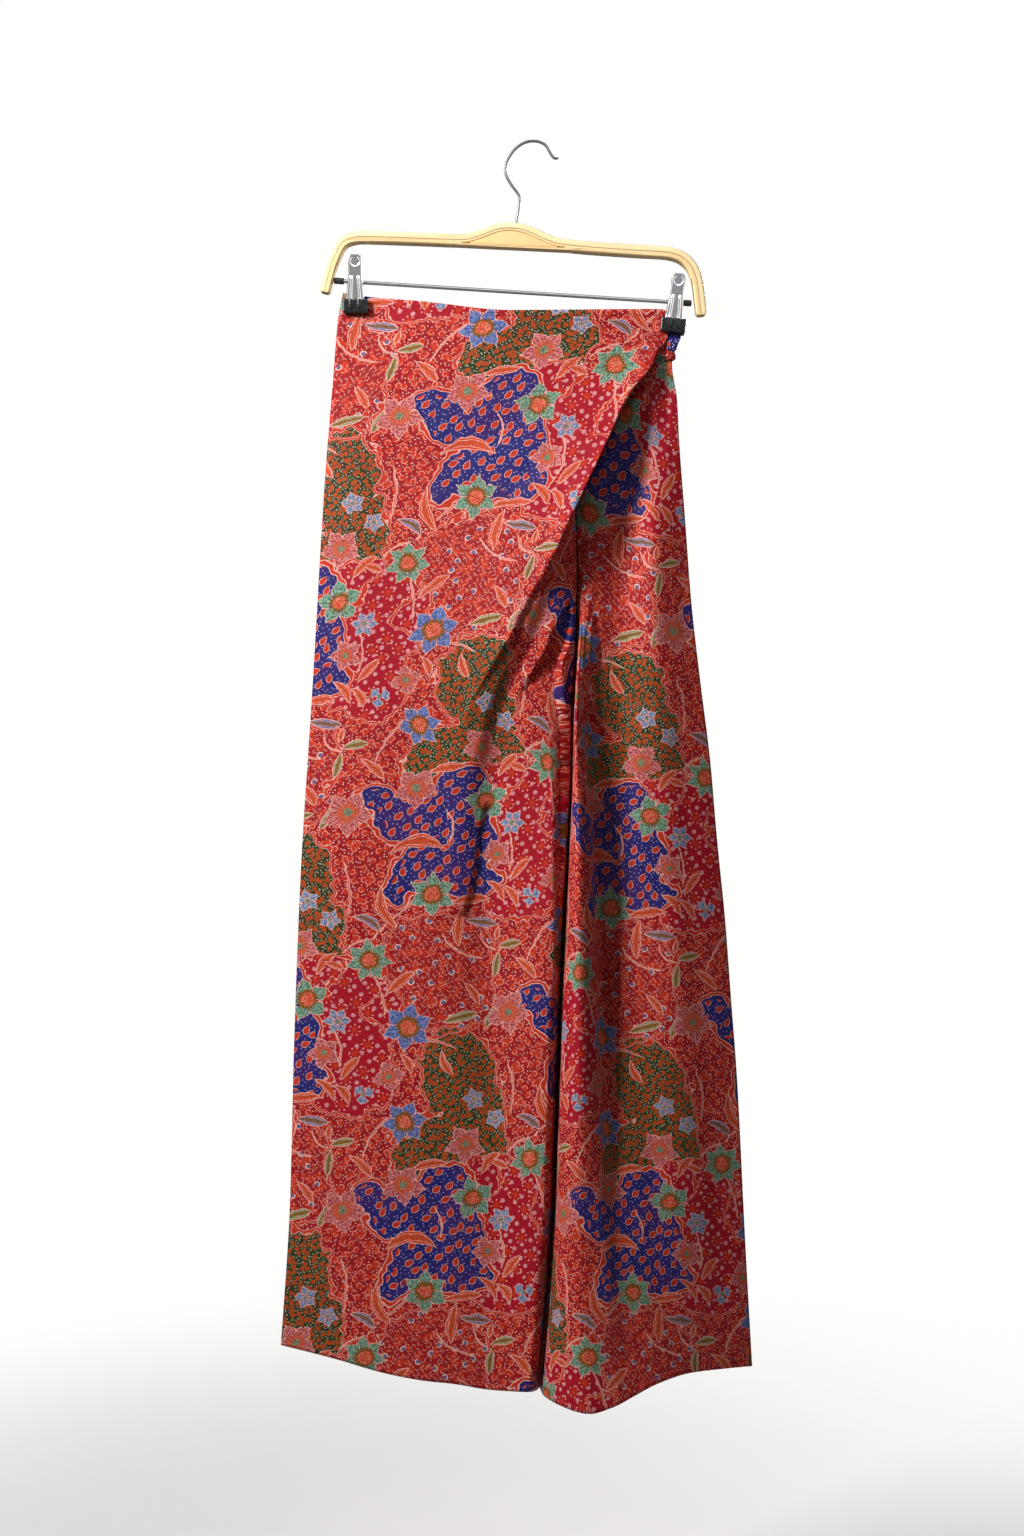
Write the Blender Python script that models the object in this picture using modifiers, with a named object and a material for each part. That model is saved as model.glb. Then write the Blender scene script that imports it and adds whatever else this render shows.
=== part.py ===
"""Wrap pants in printed cotton, hung by the waist from a wooden hanger with two sliding clips.

Metres, +Z up, +X to the right of the front view, -Y towards the viewer.
The origin is the inside of the hook's top, where the hanger hangs.

Tables are in millimetres. "across" is to the right of the hook and "drop" is below it, both as
seen from VIEW_DISTANCE in front, and "depth" is true, negative towards the viewer.
"""

import math

import bmesh
import bpy
from mathutils import Matrix, Vector

MM = 0.001

# The outline is read from this far in front, level with this point of the garment
VIEW_DISTANCE = 1900.0
VIEW_ACROSS = -18.0
VIEW_DROP = 624.0

# Cloth
CLOTH = 1.2
SEAM_GAP = 0.3
LAYER = CLOTH + SEAM_GAP
TOP_SPACING = 1.5
PANEL_ROWS = 28
BACK_ROWS = 16

# Hanger
BOW_DEPTH = 12.0
BOW_EDGE = 1.6
WIRE = 2.8
ROD = 3.8
ROD_ENDS = ((-196.0, 136.7), (161.5, 159.4))
CAP_LENGTH = 10.0
CAP_WIDTH = 6.2
CAP_GRIP = 6.0
GAP = 0.3

# Clips
CLIP_SHEET = 0.9
CLIP_LENGTH = 45.0
CLIP_TOP_WIDTH = 13.0
CLIP_FOOT_WIDTH = 17.5
FLUTE_HEIGHT = 1.1
ROD_BELOW_CLIP_TOP = 28.5
PAD_WIDTH = 25.0
PAD_HEIGHT = 14.5
PAD_THICKNESS = 5.2
SLOT = (19.0, 3.6, 5.0)
LEVER_IN_PAD = 4.6
BARREL_WIDTH = 9.0

# Fold lines of the cloth from waist to hem: (drop, across, depth)
LEFT_SIDE = (
    (149, -187, -0.75),
    (176, -192, -0.75),
    (236, -197, -0.75),
    (336, -205, -0.75),
    (536, -217, -0.75),
    (736, -229.5, -0.75),
    (906, -236, -0.75),
    (1060, -240, -0.75),
    (1201, -249, -0.75),
)
LEFT_HIP = (
    (153, -160, -0.75),
    (172, -161, -0.9),
    (240, -165, -6),
    (480, -172, -12),
    (800, -182, -15),
    (1214, -198, -18),
)
LEFT_THIGH = (
    (157.5, -106, -4),
    (260, -108, -11),
    (480, -118, -18),
    (800, -130, -23),
    (1230, -142, -30),
)
LEFT_MIDDLE = (
    (166, -20, -7),
    (260, -26, -16),
    (360, -45, -23),
    (460, -66, -26),
    (560, -90, -25),
    (760, -100, -26),
    (1237, -104, -35),
)
RIDGE = (
    (165, 126, -1.5),
    (190, 128, -1.5),
    (219, 122, -11),
    (252, 98, -23),
    (306, 73, -33),
    (371, 42, -39),
    (424, 19, -41),
    (490, -10, -39),
    (576, -48, -33),
    (662, -66, -28),
    (770, -74, -27),
    (920, -76, -30),
    (1240, -76, -36.5),
)
UNDER_RIDGE = (
    (165, 129, -1.5),
    (190, 131, -1.5),
    (219, 124.5, -7),
    (252, 100.5, -17),
    (306, 75, -26),
    (371, 46, -31),
    (424, 30, -31),
    (490, 8, -29),
    (576, -30, -23),
    (662, -44, -22),
    (770, -44, -23.5),
    (920, -41, -28),
    (1080, -39, -33.5),
    (1246, -38, -38.5),
)
INNER_THIGH = (
    (165, 131, -1.5),
    (190, 134, -1.5),
    (219, 122.5, -3.5),
    (252, 98, -10),
    (306, 71.5, -17),
    (371, 47, -22),
    (424, 38, -24),
    (490, 26, -27),
    (576, 18, -31),
    (662, 21, -37),
    (770, 22, -42),
    (920, 17, -45),
    (1080, 11, -46),
    (1248, -2, -46),
)
INNER_LIP = (
    (165, 132.5, -1.5),
    (190, 136, -1.5),
    (219, 118.5, -2.2),
    (252, 92, -6.5),
    (306, 64, -11),
    (371, 46, -14),
    (424, 44.5, -17),
    (490, 41, -20),
    (576, 34.5, -22),
    (662, 33.5, -25),
    (770, 31.5, -28),
    (920, 25.5, -30),
    (1080, 19.5, -31),
    (1246, 6.5, -30),
)
INNER_SEAM = (
    (165, 134, -1.5),
    (190, 138, -1.5),
    (219, 115, -2),
    (252, 86, -4),
    (306, 57, -7),
    (371, 45, -8),
    (424, 46.5, -9),
    (490, 44.5, -9),
    (576, 38.5, -7),
    (662, 37, -6),
    (770, 34, -6),
    (920, 28, -6),
    (1080, 22.5, -6),
    (1244, 8.5, -6),
)

# The right front starts beside the inner seam, this much further (drop, across, depth)
RIGHT_START = (
    (222, 0.8, 1.6),
    (306, 0.8, 1.6),
    (371, 1.5, 1.0),
    (424, 1.8, 0.4),
    (490, 1.8, 0),
    (1244, 1.8, 0),
)
ROLL_FLANK = (
    (221.5, 118, -0.3),
    (256, 88, -3),
    (306, 63, -6),
    (371, 51, -7.5),
    (424, 50.5, -10),
    (490, 47.2, -18),
    (576, 41, -30),
    (662, 39.6, -34),
    (770, 36.8, -36),
    (920, 31, -38),
    (1080, 25.5, -40),
    (1250, 12.5, -40),
)
ROLL_CREST = (
    (221, 121, -0.3),
    (256, 93, -4),
    (306, 70, -6.5),
    (371, 58, -8.5),
    (424, 54, -13),
    (490, 49.5, -26),
    (576, 45.5, -45),
    (662, 48, -51),
    (770, 49.5, -55),
    (920, 50, -60),
    (1080, 50, -66),
    (1270, 60, -76),
)
ROLL_BACK = (
    (220.5, 124, -0.3),
    (256, 99, -5),
    (306, 79, -7.5),
    (371, 68, -9.5),
    (424, 62, -14),
    (490, 55, -25),
    (576, 52, -39),
    (662, 57.5, -43),
    (770, 61.5, -46),
    (920, 65, -50),
    (1080, 71, -60),
    (1263, 84, -71),
)
RIGHT_VALLEY = (
    (220, 127, -0.3),
    (256, 106, -7),
    (306, 90, -9),
    (371, 80, -11),
    (424, 74, -14),
    (490, 63, -18),
    (576, 59.5, -18),
    (662, 65.5, -19),
    (770, 69.5, -20),
    (920, 75, -27),
    (1080, 87, -47),
    (1254, 101, -64),
)
RIGHT_THIGH = (
    (219.5, 131, -0.4),
    (256, 115, -9),
    (306, 104, -13),
    (371, 98, -15),
    (490, 93, -17),
    (662, 94, -20),
    (770, 97, -22),
    (920, 102, -28),
    (1080, 114, -40),
    (1240, 127, -53),
)
RIGHT_MIDDLE = (
    (219, 134, -0.5),
    (256, 126, -9),
    (306, 120, -15),
    (424, 119, -18),
    (576, 125, -20),
    (770, 137, -23),
    (1080, 153, -30),
    (1229, 160, -35),
)
RIGHT_HIP = (
    (218.5, 138, -0.6),
    (256, 137, -5),
    (306, 136, -9),
    (424, 141, -10),
    (576, 152, -12),
    (770, 168, -13),
    (1080, 186, -15),
    (1225, 191, -18),
)
RIGHT_SIDE = (
    (218, 141, -0.75),
    (231, 143, -0.75),
    (256, 147, -0.75),
    (296, 149, -0.75),
    (376, 155, -0.75),
    (456, 161, -0.75),
    (536, 170, -0.75),
    (616, 180, -0.75),
    (696, 187, -0.75),
    (776, 195, -0.75),
    (856, 201, -0.75),
    (936, 207, -0.75),
    (1096, 215, -0.75),
    (1222, 222, -0.75),
)

# The back panels lie nearly flat behind
LEFT_BACK_HIP = (
    (153, -160, 0.75),
    (172, -161, 0.9),
    (240, -165, 5),
    (500, -172, 7),
    (1212, -196, 7),
)
LEFT_BACK_MIDDLE = ((160, -95, 4), (240, -98, 9), (500, -100, 11), (1228, -125, 12))
LEFT_BACK_INNER = (
    (166, -45, 6),
    (300, -40, 10),
    (430, -22, 10),
    (540, -2, 9),
    (700, -4, 7),
    (920, -12, 7),
    (1238, -36, 8),
)
RIGHT_BACK_INNER = (
    (166, 15, 6),
    (300, 24, 10),
    (430, 52, 10),
    (540, 70, 9),
    (700, 72, 7),
    (920, 64, 7),
    (1240, 46, 8),
)
RIGHT_BACK_MIDDLE = (
    (166, 75, 4.5),
    (240, 86, 9),
    (500, 108, 11),
    (1232, 128, 12),
)
RIGHT_BACK_HIP = (
    (166, 128, 1.5),
    (194, 129, 1.6),
    (240, 130, 5),
    (500, 142, 7),
    (1222, 182, 7),
)
RIGHT_BACK_SIDE = (
    (168, 152, 1.5),
    (192, 150, 1.5),
    (207, 145, 1.8),
    (218, 142, 2),
    (232, 143, 1.6),
    (256, 147, 0.75),
)
CENTRE_BACK = (
    (166, -17, 6),
    (300, -4, 9),
    (420, 24, 6),
    (500, 41, -3),
    (545, 42, -7),
)
CROTCH_DROP = 545.0
# Backs' inner edges from the front's inner seam, and the right one's lap behind the left one
SEAM_ACROSS = 0.65
SEAM_BEHIND = 0.95
BACK_LAP = (-2.0, 2.8)

# The tie under the right clip: (drop, across, half width, depth)
TIE = (
    (177, 143.6, 7.2, 0),
    (193, 143.6, 7.2, 0),
    (200, 142.6, 5.4, -0.6),
    (206.5, 141.6, 4.2, -2.2),
)
KNOT_CENTRE = (212.5, 141.0, -3.4)
KNOT_SIZE = (10.5, 7.6, 11.0)

# Top edge of the upper lamination, left tip to right tip: (across, drop)
BOW_TOP = (
    (-209.5, 144.0),
    (-206.5, 132.0),
    (-202.0, 117.0),
    (-194.0, 100.0),
    (-186.0, 92.5),
    (-176.0, 89.3),
    (-164.0, 88.4),
    (-110.0, 90.2),
    (-72.0, 91.6),
    (-60.0, 90.6),
    (-48.0, 86.6),
    (-33.0, 81.2),
    (-18.0, 80.0),
    (-4.0, 82.4),
    (9.0, 87.6),
    (21.0, 93.0),
    (32.0, 96.0),
    (60.0, 99.0),
    (110.0, 102.4),
    (134.0, 103.8),
    (147.0, 106.4),
    (156.5, 111.0),
    (165.0, 119.4),
    (170.5, 131.0),
    (173.5, 145.0),
    (176.0, 166.0),
)
UPPER_PLY = 5.6
LOWER_PLY = 4.8
# The lower lamination splits round the plate, and its foot runs straight under the crown
SPLIT_PLY = 2.2
CROWN_FOOT = ((-76.0, 102.2), (38.0, 107.7))
SPLIT_LEAST = 0.6
PLATE_LEAST = 1.5
TIP_RADIUS = 3.6

# Centre of the hook's wire, from its tip to its foot in the bow: (across, drop)
HOOK = (
    (28.6, 14.2),
    (25.2, 14.4),
    (22.6, 12.6),
    (19.8, 8.4),
    (15.8, 1.6),
    (9.6, -2.0),
    (2.4, -2.9),
    (-4.6, -1.6),
    (-12.0, 2.6),
    (-18.6, 9.6),
    (-23.4, 18.6),
    (-24.6, 26.6),
    (-22.6, 34.2),
    (-17.4, 42.6),
    (-12.2, 49.6),
    (-10.4, 54.6),
    (-11.6, 66.0),
    (-13.2, 76.0),
    (-15.6, 91.0),
)

# Clips: name, top and foot of the lever as (across, drop), cloth faces (front, back) at the
# pads, and the barrel's diameter
CLIPS = (
    ("clip_left", (-174.4, 111.0), (-174.4, 156.0), (-1.35, 1.35), 11.2),
    ("clip_right", (148.7, 130.3), (143.6, 175.6), (-2.1, 2.1), 12.6),
)

COTTON = (0.55, 0.05, 0.05)
BLUE_COTTON = (0.06, 0.06, 0.3)
PALE_WOOD = (0.83, 0.62, 0.3)
DARK_WOOD = (0.72, 0.45, 0.2)
STEEL = (0.75, 0.75, 0.76)
BLACK = (0.015, 0.015, 0.018)


def hermite(rows, at, column):
    """Value of a column at a station, on a smooth curve that never overshoots its rows."""
    last = len(rows) - 1
    at = min(max(at, rows[0][0]), rows[last][0])
    place = next(i for i in range(last) if at <= rows[i + 1][0] or i == last - 1)
    slopes = [
        (rows[i + 1][column] - rows[i][column]) / (rows[i + 1][0] - rows[i][0])
        for i in range(last)
    ]

    def tangent(i):
        if i in (0, last):
            return slopes[0] if i == 0 else slopes[last - 1]
        before, after = slopes[i - 1], slopes[i]
        return 0.0 if before * after <= 0 else 2 * before * after / (before + after)

    start, end = rows[place], rows[place + 1]
    length = end[0] - start[0]
    t = (at - start[0]) / length
    return (
        (2 * t**3 - 3 * t**2 + 1) * start[column]
        + (t**3 - 2 * t**2 + t) * length * tangent(place)
        + (3 * t**2 - 2 * t**3) * end[column]
        + (t**3 - t**2) * length * tangent(place + 1)
    )


def along(line, share):
    """(across, drop, depth) on a fold line, at a share of its way from waist to hem."""
    drop = line[0][0] + share * (line[-1][0] - line[0][0])
    return (hermite(line, drop, 1), drop, hermite(line, drop, 2))


def section(lines, share, spans):
    """Points across a panel, on a smooth curve through its fold lines."""
    knots = [along(line, share) for line in lines]
    stations = [0.0]
    for here, there in zip(knots, knots[1:]):
        stations.append(stations[-1] + max(math.dist(here, there), 0.2))
    rows = [(station, *knot) for station, knot in zip(stations, knots)]
    points = [knots[0]]
    for i, span in enumerate(spans):
        for step in range(1, span + 1):
            at = stations[i] + (stations[i + 1] - stations[i]) * step / span
            points.append(tuple(hermite(rows, at, column) for column in (1, 2, 3)))
    return points


def placed(across, drop, depth):
    """True point in metres of a point that is seen at this place and lies at this depth."""
    nearer = (VIEW_DISTANCE + depth) / VIEW_DISTANCE
    x = VIEW_ACROSS + (across - VIEW_ACROSS) * nearer
    z = -(VIEW_DROP + (drop - VIEW_DROP) * nearer)
    return Vector((x, depth, z)) * MM


def material(name, colour, roughness, metallic=0.0):
    made = bpy.data.materials.new(name)
    made.use_nodes = True
    shader = made.node_tree.nodes["Principled BSDF"]
    shader.inputs["Base Color"].default_value = (*colour, 1.0)
    shader.inputs["Roughness"].default_value = roughness
    shader.inputs["Metallic"].default_value = metallic
    return made


def keep(name, data, finish):
    """Adds an object with its own material to the garment's collection."""
    obj = bpy.data.objects.new(name, data)
    data.materials.append(material(name, *finish))
    bpy.data.collections["wrap_pants"].objects.link(obj)
    return obj


def shade(mesh):
    mesh.shade_smooth()
    mesh.set_sharp_from_angle(angle=math.radians(35))


def sheet(name, points, thickness, finish):
    """A wall of even thickness on a grid of points, given row by row."""
    form = bmesh.new()
    rows, columns = len(points), len(points[0])
    bmesh.ops.create_grid(form, x_segments=columns - 1, y_segments=rows - 1, size=0.5)
    for vertex in form.verts:
        column = round((vertex.co.x + 0.5) * (columns - 1))
        row = round((0.5 - vertex.co.y) * (rows - 1))
        vertex.co = points[row][column]
    mesh = bpy.data.meshes.new(name)
    form.to_mesh(mesh)
    form.free()
    shade(mesh)
    obj = keep(name, mesh, finish)
    wall = obj.modifiers.new("wall", "SOLIDIFY")
    wall.thickness = thickness * MM
    wall.offset = 0.0
    return obj


def panel(name, lines, spans, rows, finish):
    """A cut piece of cloth hung from its waist edge, through its fold lines."""
    shares = [(row / rows) ** TOP_SPACING for row in range(rows + 1)]
    points = [
        [placed(*point) for point in section(lines, share, spans)] for share in shares
    ]
    return sheet(name, points, CLOTH, finish)


def beside(line, others, first=None, last=None):
    """A line that runs along another one, moved by rows of (drop, across, depth)."""
    return tuple(
        (drop, across + hermite(others, drop, 1), depth + hermite(others, drop, 2))
        for drop, across, depth in line
        if (first is None or drop >= first) and (last is None or drop <= last)
    )


def mirrored_depth(line):
    return tuple((drop, across, -depth) for drop, across, depth in line)


def back_seam(across_more, depth_more):
    """Inner edge of a back panel: centre seam down to the crotch, then the leg's inner seam."""
    leg = [
        (drop, across + SEAM_ACROSS, depth + SEAM_BEHIND)
        for drop, across, depth in INNER_SEAM
        if drop > CROTCH_DROP
    ]
    return tuple(
        (drop, across + across_more, depth + depth_more)
        for drop, across, depth in (*CENTRE_BACK, *leg)
    )


def cloth():
    red = (COTTON, 0.85)
    hip_to_seam = (LEFT_SIDE, LEFT_HIP, LEFT_THIGH, LEFT_MIDDLE)
    inner = (RIDGE, UNDER_RIDGE, INNER_THIGH, INNER_LIP, INNER_SEAM)
    panel("wrap_front", hip_to_seam + inner, (2, 2, 3, 4, 2, 3, 2, 2), PANEL_ROWS, red)

    first = INNER_SEAM[2:]
    start = ((222, hermite(INNER_SEAM, 222, 1), hermite(INNER_SEAM, 222, 2)),) + first[1:]
    right_seam = beside(start, RIGHT_START)
    roll = (right_seam, ROLL_FLANK, ROLL_CREST, ROLL_BACK, RIGHT_VALLEY)
    broad = (RIGHT_THIGH, RIGHT_MIDDLE, RIGHT_HIP, RIGHT_SIDE)
    panel("right_front", roll + broad, (2, 3, 2, 3, 2, 2, 2, 2), PANEL_ROWS, red)

    left = (
        mirrored_depth(LEFT_SIDE),
        LEFT_BACK_HIP,
        LEFT_BACK_MIDDLE,
        LEFT_BACK_INNER,
        back_seam(0.0, 0.0),
    )
    panel("left_back", left, (2, 2, 2, 3), BACK_ROWS, red)
    side = RIGHT_BACK_SIDE + mirrored_depth(RIGHT_SIDE)[3:]
    right = (
        back_seam(*BACK_LAP),
        RIGHT_BACK_INNER,
        RIGHT_BACK_MIDDLE,
        RIGHT_BACK_HIP,
        side,
    )
    panel("right_back", right, (3, 2, 2, 2), BACK_ROWS, red)


def tie():
    """The strap end that comes out under the right clip, and the knot it ends in."""
    across_steps = (-1.0, -0.33, 0.33, 1.0)
    points = [
        [placed(across + step * half, drop, depth) for step in across_steps]
        for drop, across, half, depth in TIE
    ]
    sheet("waist_tie", points, CLOTH, (BLUE_COTTON, 0.85))

    form = bmesh.new()
    bmesh.ops.create_icosphere(form, subdivisions=3, radius=0.5)
    width, thickness, height = KNOT_SIZE
    drop, across, depth = KNOT_CENTRE
    for vertex in form.verts:
        turn = math.atan2(vertex.co.z, vertex.co.x)
        crease = 1.0 - 0.14 * math.cos(3 * turn + 5 * vertex.co.y) ** 2
        vertex.co = Vector((
            vertex.co.x * width * crease,
            vertex.co.y * thickness * crease,
            vertex.co.z * height * crease,
        )) * MM
    bmesh.ops.translate(form, verts=form.verts, vec=placed(across, drop, depth))
    mesh = bpy.data.meshes.new("tie_knot")
    form.to_mesh(mesh)
    form.free()
    shade(mesh)
    keep("tie_knot", mesh, (COTTON, 0.85))


def smooth_route(rows, step):
    """Points a step apart on a smooth curve through hand-set points in a plane."""
    points = [Vector(row) for row in rows]
    route = []
    for i in range(len(points) - 1):
        before = points[max(i - 1, 0)]
        start, end = points[i], points[i + 1]
        after = points[min(i + 2, len(points) - 1)]
        parts = max(1, round((end - start).length / step))
        for k in range(parts):
            t = k / parts
            route.append(0.5 * (
                2 * start
                + (end - before) * t
                + (2 * before - 5 * start + 4 * end - after) * t**2
                + (3 * start - before - 3 * end + after) * t**3
            ))
    route.append(points[-1])
    return route


def wire(name, places, width, finish, sides=2):
    """A round wire through places in metres, with filled ends."""
    curve = bpy.data.curves.new(name, "CURVE")
    curve.dimensions = "3D"
    curve.bevel_depth = width / 2 * MM
    curve.bevel_resolution = sides
    curve.use_fill_caps = True
    spline = curve.splines.new("POLY")
    spline.points.add(len(places) - 1)
    for point, place in zip(spline.points, places):
        point.co = (*place, 1.0)
    return keep(name, curve, finish)


def flat_piece(name, outlines, depth, edge, finish):
    """Flat outlines of (across, drop) points, the second one a hole, with rounded edges."""
    curve = bpy.data.curves.new(name, "CURVE")
    curve.dimensions = "2D"
    curve.fill_mode = "BOTH"
    curve.extrude = (depth / 2 - edge) * MM
    curve.bevel_depth = edge * MM
    curve.bevel_resolution = 1
    curve.offset = -edge * MM
    for outline in outlines:
        spline = curve.splines.new("POLY")
        spline.use_cyclic_u = True
        spline.points.add(len(outline) - 1)
        for point, (across, drop) in zip(spline.points, outline):
            point.co = (across * MM, -drop * MM, 0.0, 1.0)
    guide = bpy.data.objects.new(name + "_outline", curve)
    bpy.context.scene.collection.objects.link(guide)
    bpy.context.view_layer.update()
    evaluated = guide.evaluated_get(bpy.context.evaluated_depsgraph_get())
    mesh = bpy.data.meshes.new_from_object(evaluated)
    bpy.data.objects.remove(guide)
    form = bmesh.new()
    form.from_mesh(mesh)
    bmesh.ops.remove_doubles(form, verts=form.verts, dist=0.00001)
    form.to_mesh(mesh)
    form.free()
    shade(mesh)
    obj = keep(name, mesh, finish)
    obj.matrix_world = Matrix.Rotation(math.pi / 2, 4, "X")
    return obj


def offset_route(route, distance):
    """The route moved to its lower side by a distance, or by one for each point."""
    moved = []
    for i, point in enumerate(route):
        ahead = route[min(i + 1, len(route) - 1)] - route[max(i - 1, 0)]
        normal = Vector((-ahead.y, ahead.x)).normalized()
        moved.append(point + normal * distance)
    return moved


def cut_away(piece, name, mesh):
    """Cuts a mesh's shape out of a piece."""
    cutter = bpy.data.objects.new(name, mesh)
    bpy.data.collections["cutters"].objects.link(cutter)
    cutter.hide_render = True
    cutter.display_type = "WIRE"
    cut = piece.modifiers.new("cut", "BOOLEAN")
    cut.object = cutter
    return cutter


def hook_bore(*pieces):
    """Cuts the hole that the foot of the hook goes down into."""
    (above, above_drop), (foot, foot_drop) = HOOK[-2:]
    start = Vector((above, 0.0, -above_drop)) * MM
    end = Vector((foot, 0.0, -foot_drop)) * MM
    run = (end - start).normalized()
    end += run * 2 * GAP * MM
    form = bmesh.new()
    radius = (WIRE / 2 + GAP) * MM
    bmesh.ops.create_cone(
        form, cap_ends=True, segments=16, radius1=radius, radius2=radius,
        depth=(end - start).length,
    )
    turn = run.to_track_quat("Z", "Y").to_matrix().to_4x4()
    move = Matrix.Translation((start + end) / 2) @ turn
    bmesh.ops.transform(form, matrix=move, verts=form.verts)
    mesh = bpy.data.meshes.new("hook_bore")
    form.to_mesh(mesh)
    form.free()
    for piece in pieces:
        cut_away(piece, piece.name + "_bore", mesh)


def crown_foot(across):
    """Drop of the lower lamination's foot where it runs straight under the crown."""
    (left, left_drop), (right, right_drop) = CROWN_FOOT
    return left_drop + (across - left) / (right - left) * (right_drop - left_drop)


def rounded_tip(edge, other, back):
    """Corner of a lamination's tip: the edge ends early and an arc leads to the tip's face."""
    end, before = edge[-1], edge[-2]
    along_edge = (end - before).normalized()
    inward = (other[-1] - end).normalized()
    centre = end - along_edge * back + inward * back
    arc = [
        centre + (along_edge * math.sin(turn) - inward * math.cos(turn)) * back
        for turn in (0.0, math.pi / 6, math.pi / 3, math.pi / 2)
    ]
    return [p for p in edge if (p - end).dot(along_edge) < -back - 0.5] + arc


def ribbon(outer, inner, outer_radius, inner_radius):
    """Outline of a lamination between two edges, with rounded corners at both tips."""
    edges = []
    for edge, other, radius in ((outer, inner, outer_radius), (inner, outer, inner_radius)):
        forward = rounded_tip(edge, other, radius)
        both = rounded_tip(forward[::-1], other[::-1], radius)[::-1]
        edges.append(both)
    return edges[0] + edges[1][::-1]


def split_outline(least, gap):
    """The lens between the split halves, where it is taller than least, less a gap all round."""
    crown = offset_route(smooth_route(BOW_TOP, 4.0), UPPER_PLY + GAP + SPLIT_PLY)
    (left, _), (right, _) = CROWN_FOOT
    over = [
        Vector((p.x, p.y + gap))
        for p in crown
        if left < p.x < right and crown_foot(p.x) - SPLIT_PLY - p.y > least
    ]
    ends = (over[-1].x, over[0].x)
    return over + [Vector((x, crown_foot(x) - SPLIT_PLY - gap)) for x in ends]


def bow():
    """Two bent laminations, the lower one split round a shaped plate under the hook."""
    top = smooth_route(BOW_TOP, 9.0)
    glue = offset_route(top, UPPER_PLY)
    outline = ribbon(top, glue, TIP_RADIUS, UPPER_PLY - TIP_RADIUS)
    upper = flat_piece("bow_upper", [outline], BOW_DEPTH, BOW_EDGE / 2, (PALE_WOOD, 0.5))

    left, right = CROWN_FOOT[0][0], CROWN_FOOT[1][0]
    under = offset_route(top, UPPER_PLY + GAP)
    foot = [
        Vector((p.x, crown_foot(p.x))) if left < p.x < right else p
        for p in offset_route(top, UPPER_PLY + GAP + LOWER_PLY)
    ]
    outline = ribbon(under, foot, 0.8, TIP_RADIUS)
    split = split_outline(SPLIT_LEAST, 0.0)
    finish = (PALE_WOOD, 0.5)
    lower = flat_piece("bow_lower", [outline, split], BOW_DEPTH, BOW_EDGE / 4, finish)
    insert = split_outline(PLATE_LEAST, GAP)
    plate = flat_piece("bow_plate", [insert], BOW_DEPTH - 1.0, 0.0, (DARK_WOOD, 0.5))
    hook_bore(upper, lower, plate)


def hook():
    route = smooth_route(HOOK, 3.0)
    places = [Vector((point.x, 0.0, -point.y)) * MM for point in route]
    wire("hanger_hook", places, WIRE, (STEEL, 0.25, 1.0), sides=2)


def rod():
    """The cross rod, and the caps that hold its ends to the bow's arms."""
    (left, left_drop), (right, right_drop) = ROD_ENDS
    start = Vector((left, 0.0, -left_drop)) * MM
    end = Vector((right, 0.0, -right_drop)) * MM
    run = (end - start).normalized()
    seat = (CAP_LENGTH - CAP_GRIP + GAP) * MM
    wire("hanger_rod", [start + run * seat, end - run * seat], ROD, (STEEL, 0.25, 1.0))
    for name, tip, inward in (("rod_cap_left", start, run), ("rod_cap_right", end, -run)):
        turned(
            name,
            (
                (0.0, 0.0),
                (CAP_WIDTH / 2 - 0.6, 0.0),
                (CAP_WIDTH / 2, 0.6),
                (CAP_WIDTH / 2, CAP_LENGTH - 0.5),
                (CAP_WIDTH / 2 - 0.5, CAP_LENGTH),
                (ROD / 2 + GAP, CAP_LENGTH),
                (ROD / 2 + GAP, CAP_LENGTH - CAP_GRIP),
                (0.0, CAP_LENGTH - CAP_GRIP),
            ),
            tip,
            inward,
            (BLACK, 0.5),
        )


def turned(name, profile, place, axis, finish, closed=False):
    """A profile of (radius, length) turned about an axis that starts at a place."""
    form = bmesh.new()
    points = [form.verts.new((radius * MM, 0.0, length * MM)) for radius, length in profile]
    pairs = list(zip(points, points[1:]))
    if closed:
        pairs.append((points[-1], points[0]))
    for start, end in pairs:
        form.edges.new((start, end))
    mesh = bpy.data.meshes.new(name)
    form.to_mesh(mesh)
    form.free()
    obj = keep(name, mesh, finish)
    turn = obj.modifiers.new("turn", "SCREW")
    turn.steps = 16
    turn.render_steps = 16
    turn.use_merge_vertices = True
    turn.merge_threshold = 0.00001
    turn.use_normal_flip = True
    obj.matrix_world = Matrix.Translation(place) @ axis.to_track_quat("Z", "Y").to_matrix().to_4x4()
    return obj


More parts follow.
